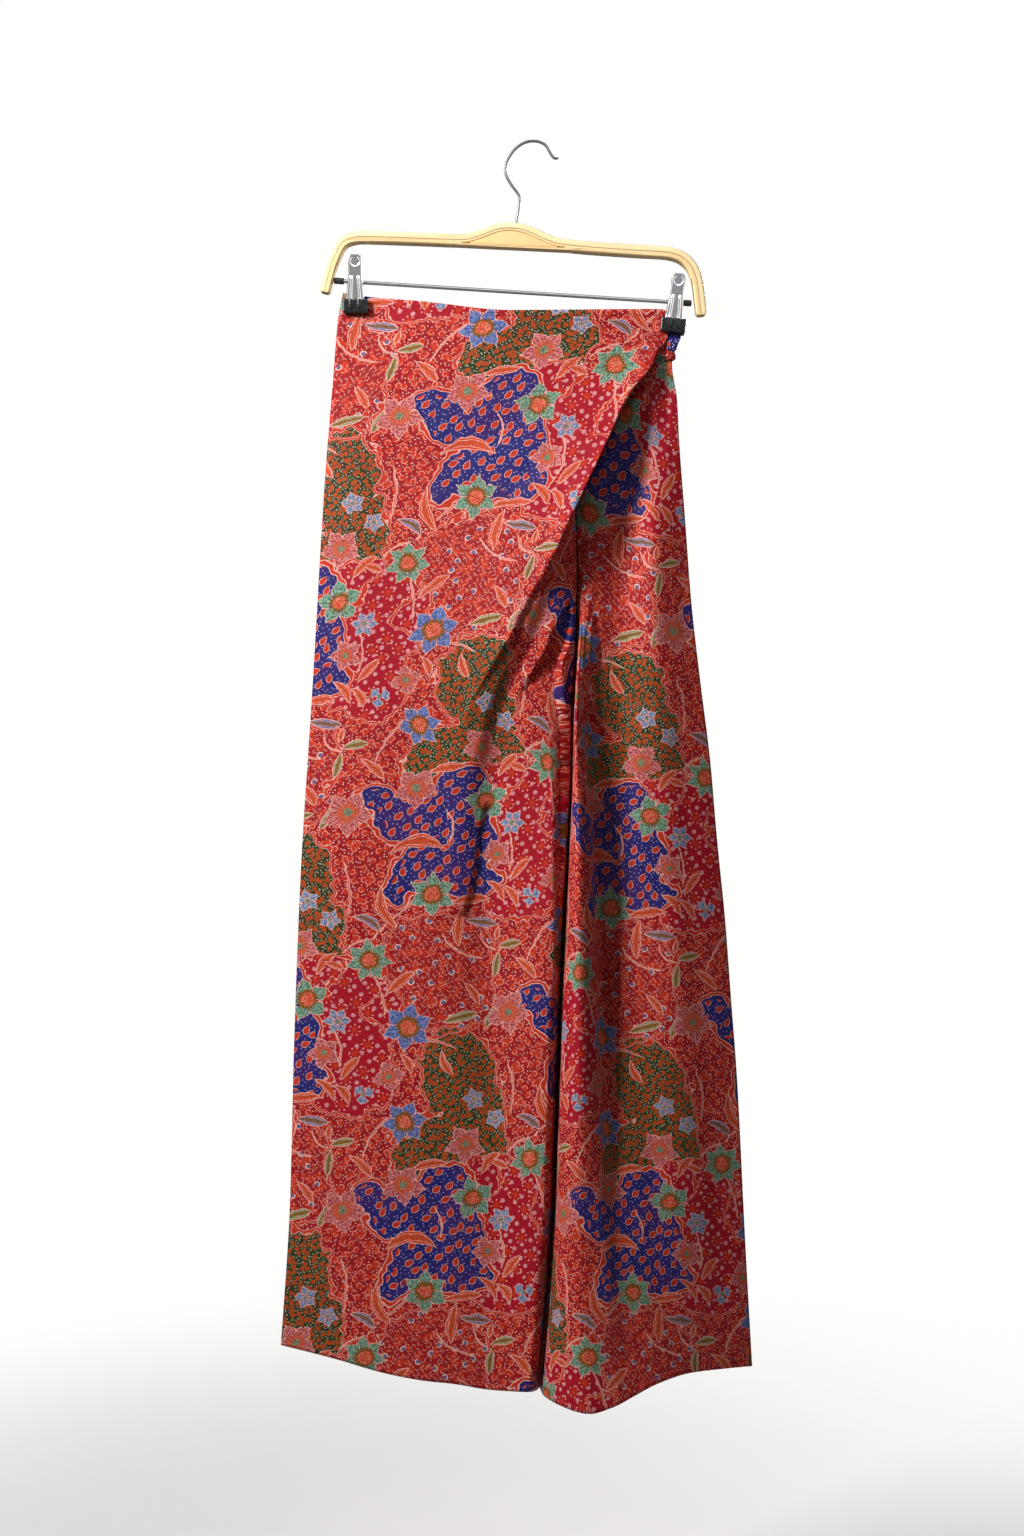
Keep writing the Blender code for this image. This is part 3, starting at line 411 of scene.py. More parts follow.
class Sketch:
    """Draws shader nodes into a tree: numbers, tuples and values go in, values come out."""

    def __init__(self, tree):
        self.tree = tree

    def node(self, kind, inputs=(), **settings):
        made = self.tree.nodes.new("ShaderNode" + kind)
        for name, value in settings.items():
            setattr(made, name, value)
        for key, value in dict(inputs).items():
            self.feed(made.inputs[key], value)
        return made

    def feed(self, socket, value):
        if isinstance(value, Value):
            self.tree.links.new(value.socket, socket)
        elif isinstance(value, tuple) and len(value) == 3 and socket.type == "RGBA":
            socket.default_value = (*value, 1.0)
        else:
            socket.default_value = value

    def outputs(self, kind, inputs=(), **settings):
        """A new node's outputs by name."""
        made = self.node(kind, inputs, **settings)
        return {socket.name: Value(self, socket) for socket in made.outputs}

    def calc(self, operation, *values):
        made = self.node("Math", enumerate(values), operation=operation)
        return Value(self, made.outputs[0])

    def vector(self, operation, *values):
        made = self.node("VectorMath", enumerate(values), operation=operation)
        return Value(self, made.outputs["Value" if operation == "LENGTH" else "Vector"])

    def sum(self, operation, *values):
        """A sum of numbers, or of vectors where one of them is a vector, colour or tuple."""
        kinds = [value.socket.type for value in values if isinstance(value, Value)]
        flat = all(kind == "VALUE" for kind in kinds)
        if flat and not any(isinstance(value, tuple) for value in values):
            return self.calc(operation, *values)
        return self.vector(operation, *values)

    def sine(self, value):
        return self.calc("SINE", value)

    def cosine(self, value):
        return self.calc("COSINE", value)

    def larger(self, one, other):
        return self.calc("MAXIMUM", one, other)

    def step(self, value, start, end, low=0.0, high=1.0):
        """A smooth step of a value from start to end."""
        inputs = {
            "Value": value, "From Min": start, "From Max": end, "To Min": low, "To Max": high,
        }
        return self.outputs("MapRange", inputs, interpolation_type="SMOOTHSTEP")["Result"]

    def past(self, value, limit):
        """One where a value is past a limit, with a hard edge."""
        return self.step(value, limit, limit + 0.01)

    def under(self, value, limit, soft):
        """One where a value is under a limit."""
        return self.step(value, limit - soft, limit + soft, 1.0, 0.0)

    def band(self, value, low, high, soft):
        """One where a value lies between two limits."""
        return self.step(value, low - soft, low + soft) * self.under(value, high, soft)

    def between(self, share, start, end):
        """A value that goes from start to end with a share."""
        inputs = ((0, share), (2, start), (3, end))
        made = self.node("Mix", inputs, data_type="FLOAT", clamp_factor=True)
        return Value(self, made.outputs[0])

    def mix(self, share, under, over, blend="MIX"):
        inputs = (("Factor", share), (6, under), (7, over))
        made = self.node("Mix", inputs, data_type="RGBA", blend_type=blend, clamp_factor=True)
        return Value(self, made.outputs[2])

    def shaded(self, colour, shade):
        """A colour made darker by a number from 0 to 1."""
        return self.mix(1.0, colour, shade, blend="MULTIPLY")

    def noises(self, place, scale, detail=2.0, roughness=0.5):
        inputs = {"Vector": place, "Scale": scale, "Detail": detail, "Roughness": roughness}
        return self.outputs("TexNoise", inputs)

    def noise(self, *settings):
        return self.noises(*settings)["Fac"]

    def cells(self, place, scale, randomness=1.0):
        """Flat cells round scattered points, and each cell's point and chance colour."""
        inputs = {"Vector": place, "Scale": scale, "Randomness": randomness}
        return self.outputs("TexVoronoi", inputs, voronoi_dimensions="2D", feature="F1")

    def parts(self, vector):
        return tuple(self.outputs("SeparateXYZ", {0: vector}).values())

    def join(self, x, y, z=0.0):
        return self.outputs("CombineXYZ", {"X": x, "Y": y, "Z": z})["Vector"]

    def in_millimetres(self):
        return self.outputs("TexCoord")["Object"] * (1000.0, 1000.0, 1000.0)

    def background(self, colour, strength):
        return self.outputs("Background", {"Color": colour, "Strength": strength})["Background"]

    def either(self, share, one, other):
        return Value(self, self.node("MixShader", {0: share, 1: one, 2: other}).outputs[0])

    def raise_surface(self, shader, height, strength, distance=MM):
        bump = {"Strength": strength, "Distance": distance, "Height": height}
        self.feed(shader["Normal"], self.outputs("Bump", bump)["Normal"])

    def group(self, tree, **values):
        """A group's outputs; a name's words are joined by _ here."""
        inputs = {name.replace("_", " ").capitalize(): value for name, value in values.items()}
        return self.outputs("Group", inputs, node_tree=tree)


def group_once(name, maker, inputs, outputs):
    """A node group with named sockets, drawn once: maker gives its outputs in order."""
    tree = bpy.data.node_groups.get(name)
    if tree:
        return tree
    tree = bpy.data.node_groups.new(name, "ShaderNodeTree")
    for socket, kind, default in inputs:
        made = tree.interface.new_socket(socket, in_out="INPUT", socket_type="NodeSocket" + kind)
        if default is not None:
            made.default_value = default
    for socket, kind in outputs:
        tree.interface.new_socket(socket, in_out="OUTPUT", socket_type="NodeSocket" + kind)
    sketch = Sketch(tree)
    given = {
        socket.name: Value(sketch, socket) for socket in tree.nodes.new("NodeGroupInput").outputs
    }
    result = tree.nodes.new("NodeGroupOutput")
    for socket, value in zip(result.inputs, maker(sketch, given)):
        sketch.feed(socket, value)
    return tree


def material_once(maker, name, *values):
    """A material with a Principled shader whose inputs maker fills, or the one of that name."""
    finish = bpy.data.materials.get(name)
    if finish:
        return finish
    finish = bpy.data.materials.new(name)
    finish.use_nodes = True
    finish.node_tree.nodes.clear()
    sketch = Sketch(finish.node_tree)
    shader = sketch.node("BsdfPrincipled")
    surface = Value(sketch, shader.outputs[0])
    sketch.node("OutputMaterial", {"Surface": surface})
    for socket, value in maker(sketch, shader.inputs, *values).items():
        sketch.feed(shader.inputs[socket], value)
    return finish


def weave(s, given):
    """Plain weave of fine cotton: threads over and under, uneven in thickness."""
    drift = (s.noises(given["Place"], 0.22, 3.0)["Color"] - MIDDLE) * (1.2, 1.2, 0.0)
    x, y, _ = s.parts(given["Place"] + drift)
    turns = given["Threads per mm"] * math.pi
    warp, weft = s.sine(x * turns), s.sine(y * turns)
    upper = s.step(warp * weft, -0.25, 0.25)
    height = abs(warp) * upper + abs(weft) * (1.0 - upper)
    along_weft = s.noise(given["Place"] * (0.15, 1.9, 1.0), 1.0)
    along_warp = s.noise(given["Place"] * (1.9, 0.12, 1.0), 1.0)
    shade = (along_weft + along_warp - 1.0) * given["Unevenness"]
    return height + shade * 1.6, shade


def weave_group():
    return group_once(
        "Cotton weave", weave,
        (("Place", "Vector", None), ("Threads per mm", "Float", 2.6), ("Unevenness", "Float", 0.5)),
        (("Height", "Float"), ("Thread shade", "Float")),
    )


# Colours of the print's motifs
MIDDLE = (0.5, 0.5, 0.5)
PALE_LINE = (0.88, 0.46, 0.40)
WHITE_DOT = (0.90, 0.68, 0.62)
# Petals: main tone, lighter tone
PETALS = (
    ((0.070, 0.18, 0.12), (0.25, 0.42, 0.31)),
    ((0.05, 0.08, 0.28), (0.19, 0.26, 0.52)),
    ((0.38, 0.045, 0.06), (0.66, 0.24, 0.23)),
    ((0.085, 0.14, 0.30), (0.33, 0.40, 0.56)),
)
# Leaves: rim, and the two tones of the hatched core
LEAF_TONES = (
    ((0.60, 0.055, 0.018), (0.52, 0.04, 0.012), (0.64, 0.13, 0.03)),
    ((0.09, 0.13, 0.32), (0.24, 0.10, 0.02), (0.09, 0.09, 0.11)),
    ((0.17, 0.27, 0.13), (0.28, 0.11, 0.015), (0.10, 0.12, 0.02)),
)
# A petal's half width at a share of its way out
PETAL = ((0.34, 0.14), (0.46, 0.25), (0.58, 0.26), (0.74, 0.165), (0.88, 0.06))


def petal_half_width(s, along_petal):
    curve = s.node("FloatCurve", {"Value": along_petal})
    points = curve.mapping.curves[0].points
    points[0].location = (0.0, 0.05)
    points[-1].location = (1.0, 0.0)
    for place_along, half in PETAL:
        points.new(place_along, half)
    curve.mapping.update()
    return Value(s, curve.outputs[0])


def flower(s, given):
    """One flower of the print: streaked petals round a spiky ring and a small heart."""
    x, y, _ = s.parts(given["Place"])
    size, petals, kind = s.parts(given["Cut"])
    count = s.larger(petals, 3.0)
    radius = s.vector("LENGTH", given["Place"])
    round_turn = s.calc("ARCTAN2", y, x)
    sector = round_turn / (2 * math.pi) * count
    in_sector = s.calc("FRACT", sector + 0.5) - 0.5
    angle = in_sector / count * (2 * math.pi)
    aside = abs(radius * s.sine(angle))
    half = petal_half_width(s, radius * s.cosine(angle)) * s.calc("POWER", 6.6 / count, 0.8)
    uneven = (given["Grain"] - 0.5) * 0.16
    inside = (half - aside + uneven) * size

    vein = s.sine(aside / (radius + 0.3) * 42.0)
    pale = s.step(given["Streaks"] * 1.4 + given["Grain"] + vein * 0.10, 1.14, 1.34)
    colour = s.mix(pale, *PETALS[0])
    for number, tones in enumerate(PETALS[1:], 1):
        colour = s.mix(s.past(kind, number - 0.5), colour, s.mix(pale, *tones))
    colour = s.mix(s.under(inside, 0.55, 0.2), colour, PALE_LINE)
    petal = s.step(inside, -0.25, 0.05)

    is_pink = s.past(kind, 1.5)
    spikes = 0.42 + s.cosine(round_turn * 19.0) * 0.045 + uneven
    ring = s.step(spikes - radius, -0.012, 0.012) * s.step(size, 15.0, 16.0)
    hatch = s.step(s.sine(round_turn * 31.0), 0.2, 0.8)
    brown = s.mix(hatch, (0.11, 0.06, 0.008), (0.36, 0.13, 0.014))
    red = s.mix(hatch, (0.50, 0.05, 0.016), (0.66, 0.20, 0.12))
    colour = s.mix(ring, colour, s.mix(is_pink, brown, red))
    rays = s.under(abs(given["Grain"] - 0.5), 0.022, 0.012)
    heart = s.mix(rays, (0.58, 0.055, 0.014), (0.84, 0.34, 0.24))
    dark_eye = s.mix(rays, (0.10, 0.15, 0.08), (0.45, 0.42, 0.30))
    eye = s.step(s.between(is_pink, 0.29, 0.17) - radius + uneven, -0.012, 0.012)
    colour = s.mix(eye, colour, s.mix(is_pink, heart, dark_eye))
    return colour, s.larger(petal, s.larger(ring, eye)) * s.step(size, 1.0, 2.0)


def leaf(s, given):
    """One leaf or stem of the print, with its inner line."""
    x, y, _ = s.parts(given["Place"])
    size, width, kind = s.parts(given["Cut"])
    full = s.larger(1.0 - x * x, 0.0)
    is_stem = s.past(kind, 2.5)
    half = s.calc("POWER", full, s.between(is_stem, 0.8, 0.25)) * width * (1.0 + x * 0.25)
    aside = abs(y)
    uneven = (given["Grain"] - 0.5) * 0.07
    inside = (half - aside + uneven) * size
    share = aside / s.larger(half, 0.001) + uneven * 2.0
    core = s.under(share, 0.40, 0.06)
    line = s.band(share, 0.46, 0.60, 0.04) * s.step(given["Streaks"], 0.4, 0.5)
    hatch = s.step(s.sine(x * 60.0 + aside * 50.0), 0.3, 0.8)
    orange, lead, olive = (
        s.mix(core, rim, s.mix(hatch, one, other)) for rim, one, other in LEAF_TONES
    )
    colour = s.mix(s.past(kind, 0.5), orange, lead)
    colour = s.mix(s.past(kind, 1.5), colour, olive)
    colour = s.mix(line, colour, PALE_LINE)
    colour = s.mix(is_stem, colour, (0.60, 0.06, 0.018))
    colour = s.mix(s.under(inside, 0.62, 0.2), colour, PALE_LINE)
    return colour, s.step(inside, -0.3, 0.0) * s.step(size, 1.0, 2.0)


def wax_print(s, given):
    """The whole wax-resist print, from the cloth's own maps."""
    place = given["Place"]
    broad = s.noise(place, 0.045, 1.0)
    wobble = s.noises(place, 0.12, 0.0)
    grain = s.noise(place, 0.42, 2.0, 0.6)
    streaks = s.noise(place, 0.95, 1.0)
    uneven = (broad - 0.5) * 26.0 + (wobble["Fac"] - 0.5) * 8.0 + (grain - 0.5) * 1.6
    blue_at, olive_at, crimson_at = s.parts(given["Fields"])
    blue_at = blue_at + uneven * 0.55
    olive_at = olive_at + uneven
    crimson_at = crimson_at + uneven
    scribble_at = given["Scribble edge"] + uneven
    in_blue, in_crimson, in_olive, in_scribble = (
        s.under(at, 0.0, 0.25) for at in (blue_at, crimson_at, olive_at, scribble_at)
    )
    orange_red = given["Orange red"]

    # Fillers stand in one set of slanted cells, whose size follows the field
    def by_field(rings, scribble, olive, crimson, blue):
        value = s.between(in_olive, s.between(in_scribble, rings, scribble), olive)
        return s.between(in_blue, s.between(in_crimson, value, crimson), blue)

    def cells_of(size, randomness):
        made = s.cells(drawn, 1.0 / size, randomness)
        local = drawn - made["Position"]
        x, y, _ = s.parts(local)
        chance, second, _ = s.parts(made["Color"])
        turn = s.calc("ARCTAN2", y, x) + chance * 6.28
        return x, y, s.vector("LENGTH", local), turn, chance, second

    drift = wobble["Color"] - MIDDLE
    slant = {"Vector": place + drift, "Angle": 0.66}
    drawn = s.outputs("VectorRotate", slant, rotation_type="Z_AXIS")["Vector"]
    x, y, reach, turn, chance, second = cells_of(
        by_field(9.2, 17.0, 6.8, 19.0, 13.0), by_field(0.75, 0.8, 0.75, 0.4, 0.45)
    )
    _, _, away, swirl, _, _ = cells_of(
        by_field(3.7, 4.4, 2.9, 9.5, 4.4), by_field(0.8, 0.9, 0.8, 0.4, 0.7)
    )
    dot = s.under(away, 0.55, 0.22)
    broken = s.step(s.sine(turn), -0.6, -0.35)

    # Plain red ground: orange discs with broken arcs
    ground = s.mix(s.under(reach, 3.5, 0.3), (0.33, 0.006, 0.010), orange_red)
    ground = s.mix(s.band(reach, 2.15, 2.6, 0.2) * broken, ground, PALE_LINE)
    ground = s.mix(dot * s.step(reach, 3.5, 4.0), ground, WHITE_DOT)

    # Scribble: short curly strokes on red, with grey-blue spots
    curl = s.band(away, 1.25, 1.65, 0.2) * s.step(s.sine(swirl), -0.2, 0.1)
    scribble = s.mix(s.step(wobble["Fac"], 0.48, 0.62), (0.34, 0.008, 0.011), orange_red)
    scribble = s.mix(curl, scribble, PALE_LINE)
    spotted = s.past(second, 0.35)
    halo = s.band(reach, 2.2, 3.0, 0.25) * broken
    scribble = s.mix(halo * spotted, scribble, WHITE_DOT)
    scribble = s.mix(s.under(reach, 1.9, 0.25) * spotted, scribble, (0.12, 0.12, 0.26))
    ground = s.mix(in_scribble, ground, scribble)

    # Dark green ground: close orange blobs and pale specks
    lobes = reach + s.sine(turn * 3.0) * 0.35
    olive = s.mix(s.under(lobes, 2.35, 0.25), given["Green"], (0.42, 0.060, 0.010))
    olive = s.mix(s.band(lobes, 2.35, 2.8, 0.2), olive, (0.085, 0.055, 0.010))
    olive = s.mix(dot * s.step(reach, 2.6, 3.2), olive, (0.62, 0.54, 0.38))
    ground = s.mix(in_olive, ground, olive)

    # Crimson ground: rayed stars and pink dots
    rays = s.cosine(turn * 7.0)
    star = s.step(rays, 0.1, 0.4) * s.under(reach, 4.7, 0.3)
    star = s.larger(star, s.under(reach, 2.3, 0.3))
    tips = s.step(rays, 0.5, 0.8) * s.band(reach, 4.9, 6.1, 0.25)
    crimson = s.mix(star, given["Crimson"], orange_red)
    crimson = s.mix(tips, crimson, PALE_LINE)
    pink_dot = s.under(away, 2.1, 0.3) * s.step(reach, 5.4, 5.9)
    crimson = s.mix(pink_dot, crimson, (0.70, 0.28, 0.30))
    ground = s.mix(in_crimson, ground, crimson)

    # Pale lines along the edges of the fields
    for at in (scribble_at, olive_at, crimson_at):
        near = abs(at)
        ground = s.mix(s.under(near, 1.3, 0.2), ground, orange_red)
        ground = s.mix(s.band(near, 1.1, 1.6, 0.2), ground, PALE_LINE)

    # Blue ground: tilted drops and tiny dots
    tilt = (chance - 0.5) * 1.1 - 0.3
    cos, sin = s.cosine(tilt), s.sine(tilt)
    along_drop = x * cos + y * sin
    tapered = 0.34 + along_drop * 0.022
    lens = along_drop / 4.9
    shape = lens * lens + abs(y * cos - x * sin) * tapered
    blue = s.mix(dot * s.step(shape, 1.25, 1.4), given["Blue"], (0.40, 0.40, 0.72))
    drop = s.mix(s.step(streaks, 0.5, 0.62), orange_red, (0.44, 0.025, 0.016))
    drop = s.mix(s.step(shape, 0.86, 0.94), drop, PALE_LINE)
    room = s.under(blue_at, -3.5, 0.5)
    blue = s.mix(s.under(shape, 1.08, 0.06) * room, blue, drop)
    ground = s.mix(in_blue, ground, blue)
    ground = s.mix(s.band(blue_at, -0.1, 3.2, 0.2), ground, orange_red)
    for middle in (0.0, 3.2):
        ground = s.mix(s.under(abs(blue_at - middle), 0.35, 0.2), ground, PALE_LINE)

    for name, maker in (("leaf", leaf), ("flower", flower)):
        tree = group_once(
            "Print " + name, maker,
            (("Place", "Vector", None), ("Cut", "Vector", None), ("Grain", "Float", 0.5),
             ("Streaks", "Float", 0.5)),
            (("Colour", "Color"), ("Mask", "Float")),
        )
        word = name.capitalize()
        bent = given[word + " place"] + drift * (0.16, 0.16, 0.0)
        motif = s.group(tree, Place=bent, Cut=given[word + " cut"], Grain=grain, Streaks=streaks)
        ground = s.mix(motif["Mask"], ground, motif["Colour"])

    # Uneven dye: mottled between the strokes, patchy over the cloth
    ground = s.shaded(ground, s.step(grain, 0.30, 0.58, 0.58, 1.0))
    patchy = s.step(s.noise(place, 0.018, 2.0, 0.6), 0.35, 0.75) * 0.15
    return (s.mix(patchy, ground, (0.22, 0.012, 0.018)),)


def print_group(settings):
    return group_once(
        "Wax-resist print", wax_print,
        (
            ("Place", "Vector", None), ("Fields", "Vector", None),
            ("Scribble edge", "Float", 60.0),
            ("Flower place", "Vector", None), ("Flower cut", "Vector", None),
            ("Leaf place", "Vector", None), ("Leaf cut", "Vector", None),
            ("Blue", "Color", (*settings.blue, 1.0)),
            ("Crimson", "Color", (*settings.crimson, 1.0)),
            ("Orange red", "Color", (*settings.orange_red, 1.0)),
            ("Green", "Color", (*settings.green, 1.0)),
        ),
        (("Colour", "Color"),),
    )


def printed_cotton(s, shader):
    """Wax-printed cotton: the print, its plain weave, a stitched waist and a narrow hem."""

    def uv(name):
        return s.outputs("UVMap", uv_map=name)["UV"]

    def attribute(name):
        return s.outputs("Attribute", attribute_name=name)["Vector"]

    place = uv("print")
    scribble, to_top, to_hem = s.parts(attribute("edges"))
    colour = s.group(
        print_group(bpy.context.scene.pants_cloth), Place=place, Fields=attribute("fields"),
        Scribble_edge=scribble, Flower_place=uv("flower"), Flower_cut=attribute("flower_cut"),
        Leaf_place=uv("leaf"), Leaf_cut=attribute("leaf_cut"),
    )["Colour"]
    threads = s.group(weave_group(), Place=place, Threads_per_mm=2.4, Unevenness=0.35)
    colour = s.shaded(colour, 1.0 + threads["Thread shade"] * 0.5)

    across, _, _ = s.parts(place)
    dash = s.step(s.sine(across * 2.1), -0.3, 0.1)
    seams = [
        s.step(abs(distance - inward), 0.25, 0.6, 1.0, 0.0)
        for distance, inward in ((to_top, WAIST_STITCH), (to_hem, HEM_STITCH))
    ]
    for line in seams:
        colour = s.mix(line * dash * 0.55, colour, (0.42, 0.02, 0.03))
    fold = s.larger(s.step(to_top, 6.0, 7.0, 1.0, 0.0), s.step(to_hem, 4.8, 5.8, 1.0, 0.0))
    dent = fold - s.larger(*seams) * 0.9
    s.raise_surface(shader, threads["Height"] * 0.10 + dent * 0.5, 0.5)
    return {
        "Base Color": colour,
        "Roughness": s.step(s.noise(place, 0.03, 3.0), 0.3, 0.7, 0.52, 0.68),
        "Specular IOR Level": 0.14,
        "Sheen Weight": 0.03,
        "Sheen Roughness": 0.4,
        "Sheen Tint": (1.0, 0.75, 0.72),
    }


def tie_cotton(s, shader, ground, spot):
    """Plain ground of the same print, with its tiny dots and a few orange drops."""
    x, _, z = s.parts(s.in_millimetres())
    flat = s.join(x, z)
    dot = s.step(s.cells(flat, 0.3)["Distance"] * 3.3, 0.35, 0.65, 1.0, 0.0)
    colour = s.mix(dot, ground, spot)
    drop = s.step(s.cells(flat, 0.08)["Distance"] * 12.5, 2.5, 2.8, 1.0, 0.0)
    colour = s.mix(drop, colour, (0.36, 0.045, 0.014))
    threads = s.group(weave_group(), Place=flat, Threads_per_mm=2.4, Unevenness=0.3)
    s.raise_surface(shader, threads["Height"] * 0.12, 0.5)
    return {
        "Base Color": s.shaded(colour, 1.0 + threads["Thread shade"]),
        "Roughness": 0.62,
        "Specular IOR Level": 0.14,
    }


def wood_grain(s, given):
    """Wood grain along a bent lamination, from its own way along, height and depth."""
    figure = s.noise(given["Place"] * (0.018, 0.9, 0.9), 1.0, 4.0, 0.55)
    pores = s.noise(given["Place"] * (0.12, 5.5, 5.5), 1.0, 2.0, 0.6)
    streak = s.step(figure, 0.35, 0.68)
    flecks = s.step(pores, 0.62, 0.72)
    colour = s.mix(streak * given["Contrast"], given["Pale"], given["Dark"])
    colour = s.mix(flecks * 0.30, colour, given["Dark"])
    return colour, 1.0 - flecks * 0.6, streak * 0.12


def varnished_wood(s, shader, pale, dark, glue_side):
    """Clear-varnished wood; the glue line darkens one edge of the layer."""
    place = s.outputs("Attribute", attribute_name="grain")["Vector"]
    tree = group_once(
        "Wood grain", wood_grain,
        (("Place", "Vector", None), ("Pale", "Color", (0.8, 0.5, 0.2, 1.0)),
         ("Dark", "Color", (0.5, 0.25, 0.08, 1.0)), ("Contrast", "Float", 0.5)),
        (("Colour", "Color"), ("Height", "Float"), ("Gloss change", "Float")),
    )
    grain = s.group(tree, Place=place, Pale=pale, Dark=dark, Contrast=0.55)
    _, height, _ = s.parts(place)
    colour = grain["Colour"]
    for start, end in glue_side:
        colour = s.mix(s.step(height, start, end) * 0.8, colour, (0.30, 0.14, 0.035))
    inward = s.calc("MINIMUM", height, UPPER_PLY + LOWER_PLY - height)
    fall = 1.0 - s.calc("MINIMUM", s.larger(inward, 0.0) / WOOD_RIM, 1.0)
    round_rim = s.calc("SQRT", 1.0 - fall * (fall * 0.96))
    rim = WOOD_RIM if glue_side else 0.0
    s.raise_surface(shader, round_rim * rim + grain["Height"] * 0.03, 0.8)
    return {
        "Base Color": colour,
        "Roughness": 0.34 + grain["Gloss change"],
        "Coat Weight": 0.35,
        "Coat Roughness": 0.22,
    }


def wear(s, given):
    """Faint scuffs and handling marks for metal, from object coordinates in millimetres."""
    smears = s.noise(given["Place"], 0.12, 3.0, 0.6)
    scratches = s.noise(given["Place"] * (6.0, 6.0, 0.5), 0.6, 2.0, 0.7)
    marks = s.step(smears, 0.4, 0.7) + s.step(scratches, 0.62, 0.7) * 0.6
    change = marks * given["Amount"]
    return change, 1.0 - change * 0.6


def plated(s, shader, colour, roughness, amount):
    """Plated metal with faint handling marks."""
    tree = group_once(
        "Handling marks", wear, (("Place", "Vector", None), ("Amount", "Float", 0.1)),
        (("Roughness change", "Float"), ("Shade", "Float")),
    )
    marks = s.group(tree, Place=s.in_millimetres(), Amount=amount)
    return {
        "Base Color": s.shaded(colour, marks["Shade"]),
        "Roughness": roughness + marks["Roughness change"],
        "Metallic": 1.0,
    }


def moulded_black(s, shader, colour, roughness, bump_share):
    """Black plastic or dipped rubber with a fine matt grain."""
    place = s.in_millimetres()
    dusty = s.noise(place, 0.35, 3.0, 0.6)
    s.raise_surface(shader, s.noise(place, 2.2, 3.0, 0.6), bump_share, 0.2 * MM)
    return {
        "Base Color": s.mix(s.step(dusty, 0.5, 0.8), colour, (0.020, 0.020, 0.021)),
        "Roughness": s.step(dusty, 0.3, 0.75, roughness, roughness + 0.15),
    }


def pale_floor(s, shader):
    """Pale matt floor that fades out round the stage."""
    place = s.outputs("TexCoord")["Object"]
    away = s.vector("LENGTH", (place - (0.0, FLOOR_BACK, 0.0)) * (1.0, 1.0, 0.0))
    return {
        "Base Color": s.mix(s.noise(place, 6.0), (0.63, 0.626, 0.63), (0.66, 0.656, 0.66)),
        "Roughness": 0.8,
        "Alpha": s.step(away, 0.45, 1.5, 0.85, 0.0),
    }


def hermite(rows, at, column):
    """Value of a column at a station, on a smooth curve that never overshoots its rows."""
    last = len(rows) - 1
    at = min(max(at, rows[0][0]), rows[last][0])
    place = next(i for i in range(last) if at <= rows[i + 1][0] or i == last - 1)

    def slope(i):
        return (rows[i + 1][column] - rows[i][column]) / (rows[i + 1][0] - rows[i][0])

    def tangent(i):
        if i in (0, last):
            return slope(0) if i == 0 else slope(last - 1)
        before, after = slope(i - 1), slope(i)
        return 0.0 if before * after <= 0 else 2 * before * after / (before + after)

    start, end = rows[place], rows[place + 1]
    length = end[0] - start[0]
    t = (at - start[0]) / length
    return (
        (2 * t**3 - 3 * t**2 + 1) * start[column]
        + (t**3 - 2 * t**2 + t) * length * tangent(place)
        + (3 * t**2 - 2 * t**3) * end[column]
        + (t**3 - t**2) * length * tangent(place + 1)
    )


def along(line, share):
    """(across, drop, depth) on a fold line, at a share of its way from waist to hem."""
    drop = line[0][0] + share * (line[-1][0] - line[0][0])
    return (hermite(line, drop, 1), drop, hermite(line, drop, 2))


def moved(line, across_more, depth_more):
    return tuple((drop, across + across_more, depth + depth_more) for drop, across, depth in line)


def beside(line, others):
    """A line that runs along another one, moved by rows of (drop, across, depth)."""
    return tuple(
        (drop, across + hermite(others, drop, 1), depth + hermite(others, drop, 2))
        for drop, across, depth in line
    )


def back_seam(across_more, depth_more):
    """Inner edge of a back panel: centre seam down to the crotch, then the leg's inner seam."""
    leg = [row for row in INNER_SEAM if row[0] > CROTCH_DROP]
    whole = (*CENTRE_BACK, *moved(leg, SEAM_ACROSS, SEAM_BEHIND))
    return moved(whole, across_more, depth_more)


def mirrored_depth(line):
    return tuple((drop, across, -depth) for drop, across, depth in line)


def fold_grid(lines, spans, rows):
    """Grid of (across, drop, depth) through the fold lines, one row for each height."""
    grid = []
    for row in range(rows + 1):
        knots = [along(line, (row / rows) ** ROW_SPACING) for line in lines]
        stations = [0.0]
        for here, there in zip(knots, knots[1:]):
            stations.append(stations[-1] + max(math.dist(here, there), 0.2))
        table = [(station, *knot) for station, knot in zip(stations, knots)]
        points = [knots[0]]
        for i, span in enumerate(spans):
            for step in range(1, span + 1):
                at = stations[i] + (stations[i + 1] - stations[i]) * step / span
                points.append(tuple(hermite(table, at, column) for column in (1, 2, 3)))
        grid.append(points)
    return np.array(grid)


def grid_normals(grid, facing):
    """Unit normals of a grid of points, turned by the sign of their part along the drop.

    Where the cloth starts to lean the other way they change sides, so a crease steps there.
    """
    down, side = np.gradient(grid, axis=0), np.gradient(grid, axis=1)
    normals = np.cross(side, down)
    normals /= np.maximum(np.linalg.norm(normals, axis=2, keepdims=True), 1e-9)
    return normals * np.sign(normals[:, :, 1:2] * facing + 1e-9)


def crumple(grid):
    """Soft unevenness of hung cotton, in millimetres, the same on each run."""
    flat = grid.reshape(-1, 3)
    total = np.zeros(len(flat))
    for wide, tall, deep, start, height in CRUMPLES:
        places = (Vector((a / wide, b / tall, start + c / deep)) for a, b, c in flat)
        total += height * np.array([noise.noise(place) for place in places])
    return total.reshape(grid.shape[:2])


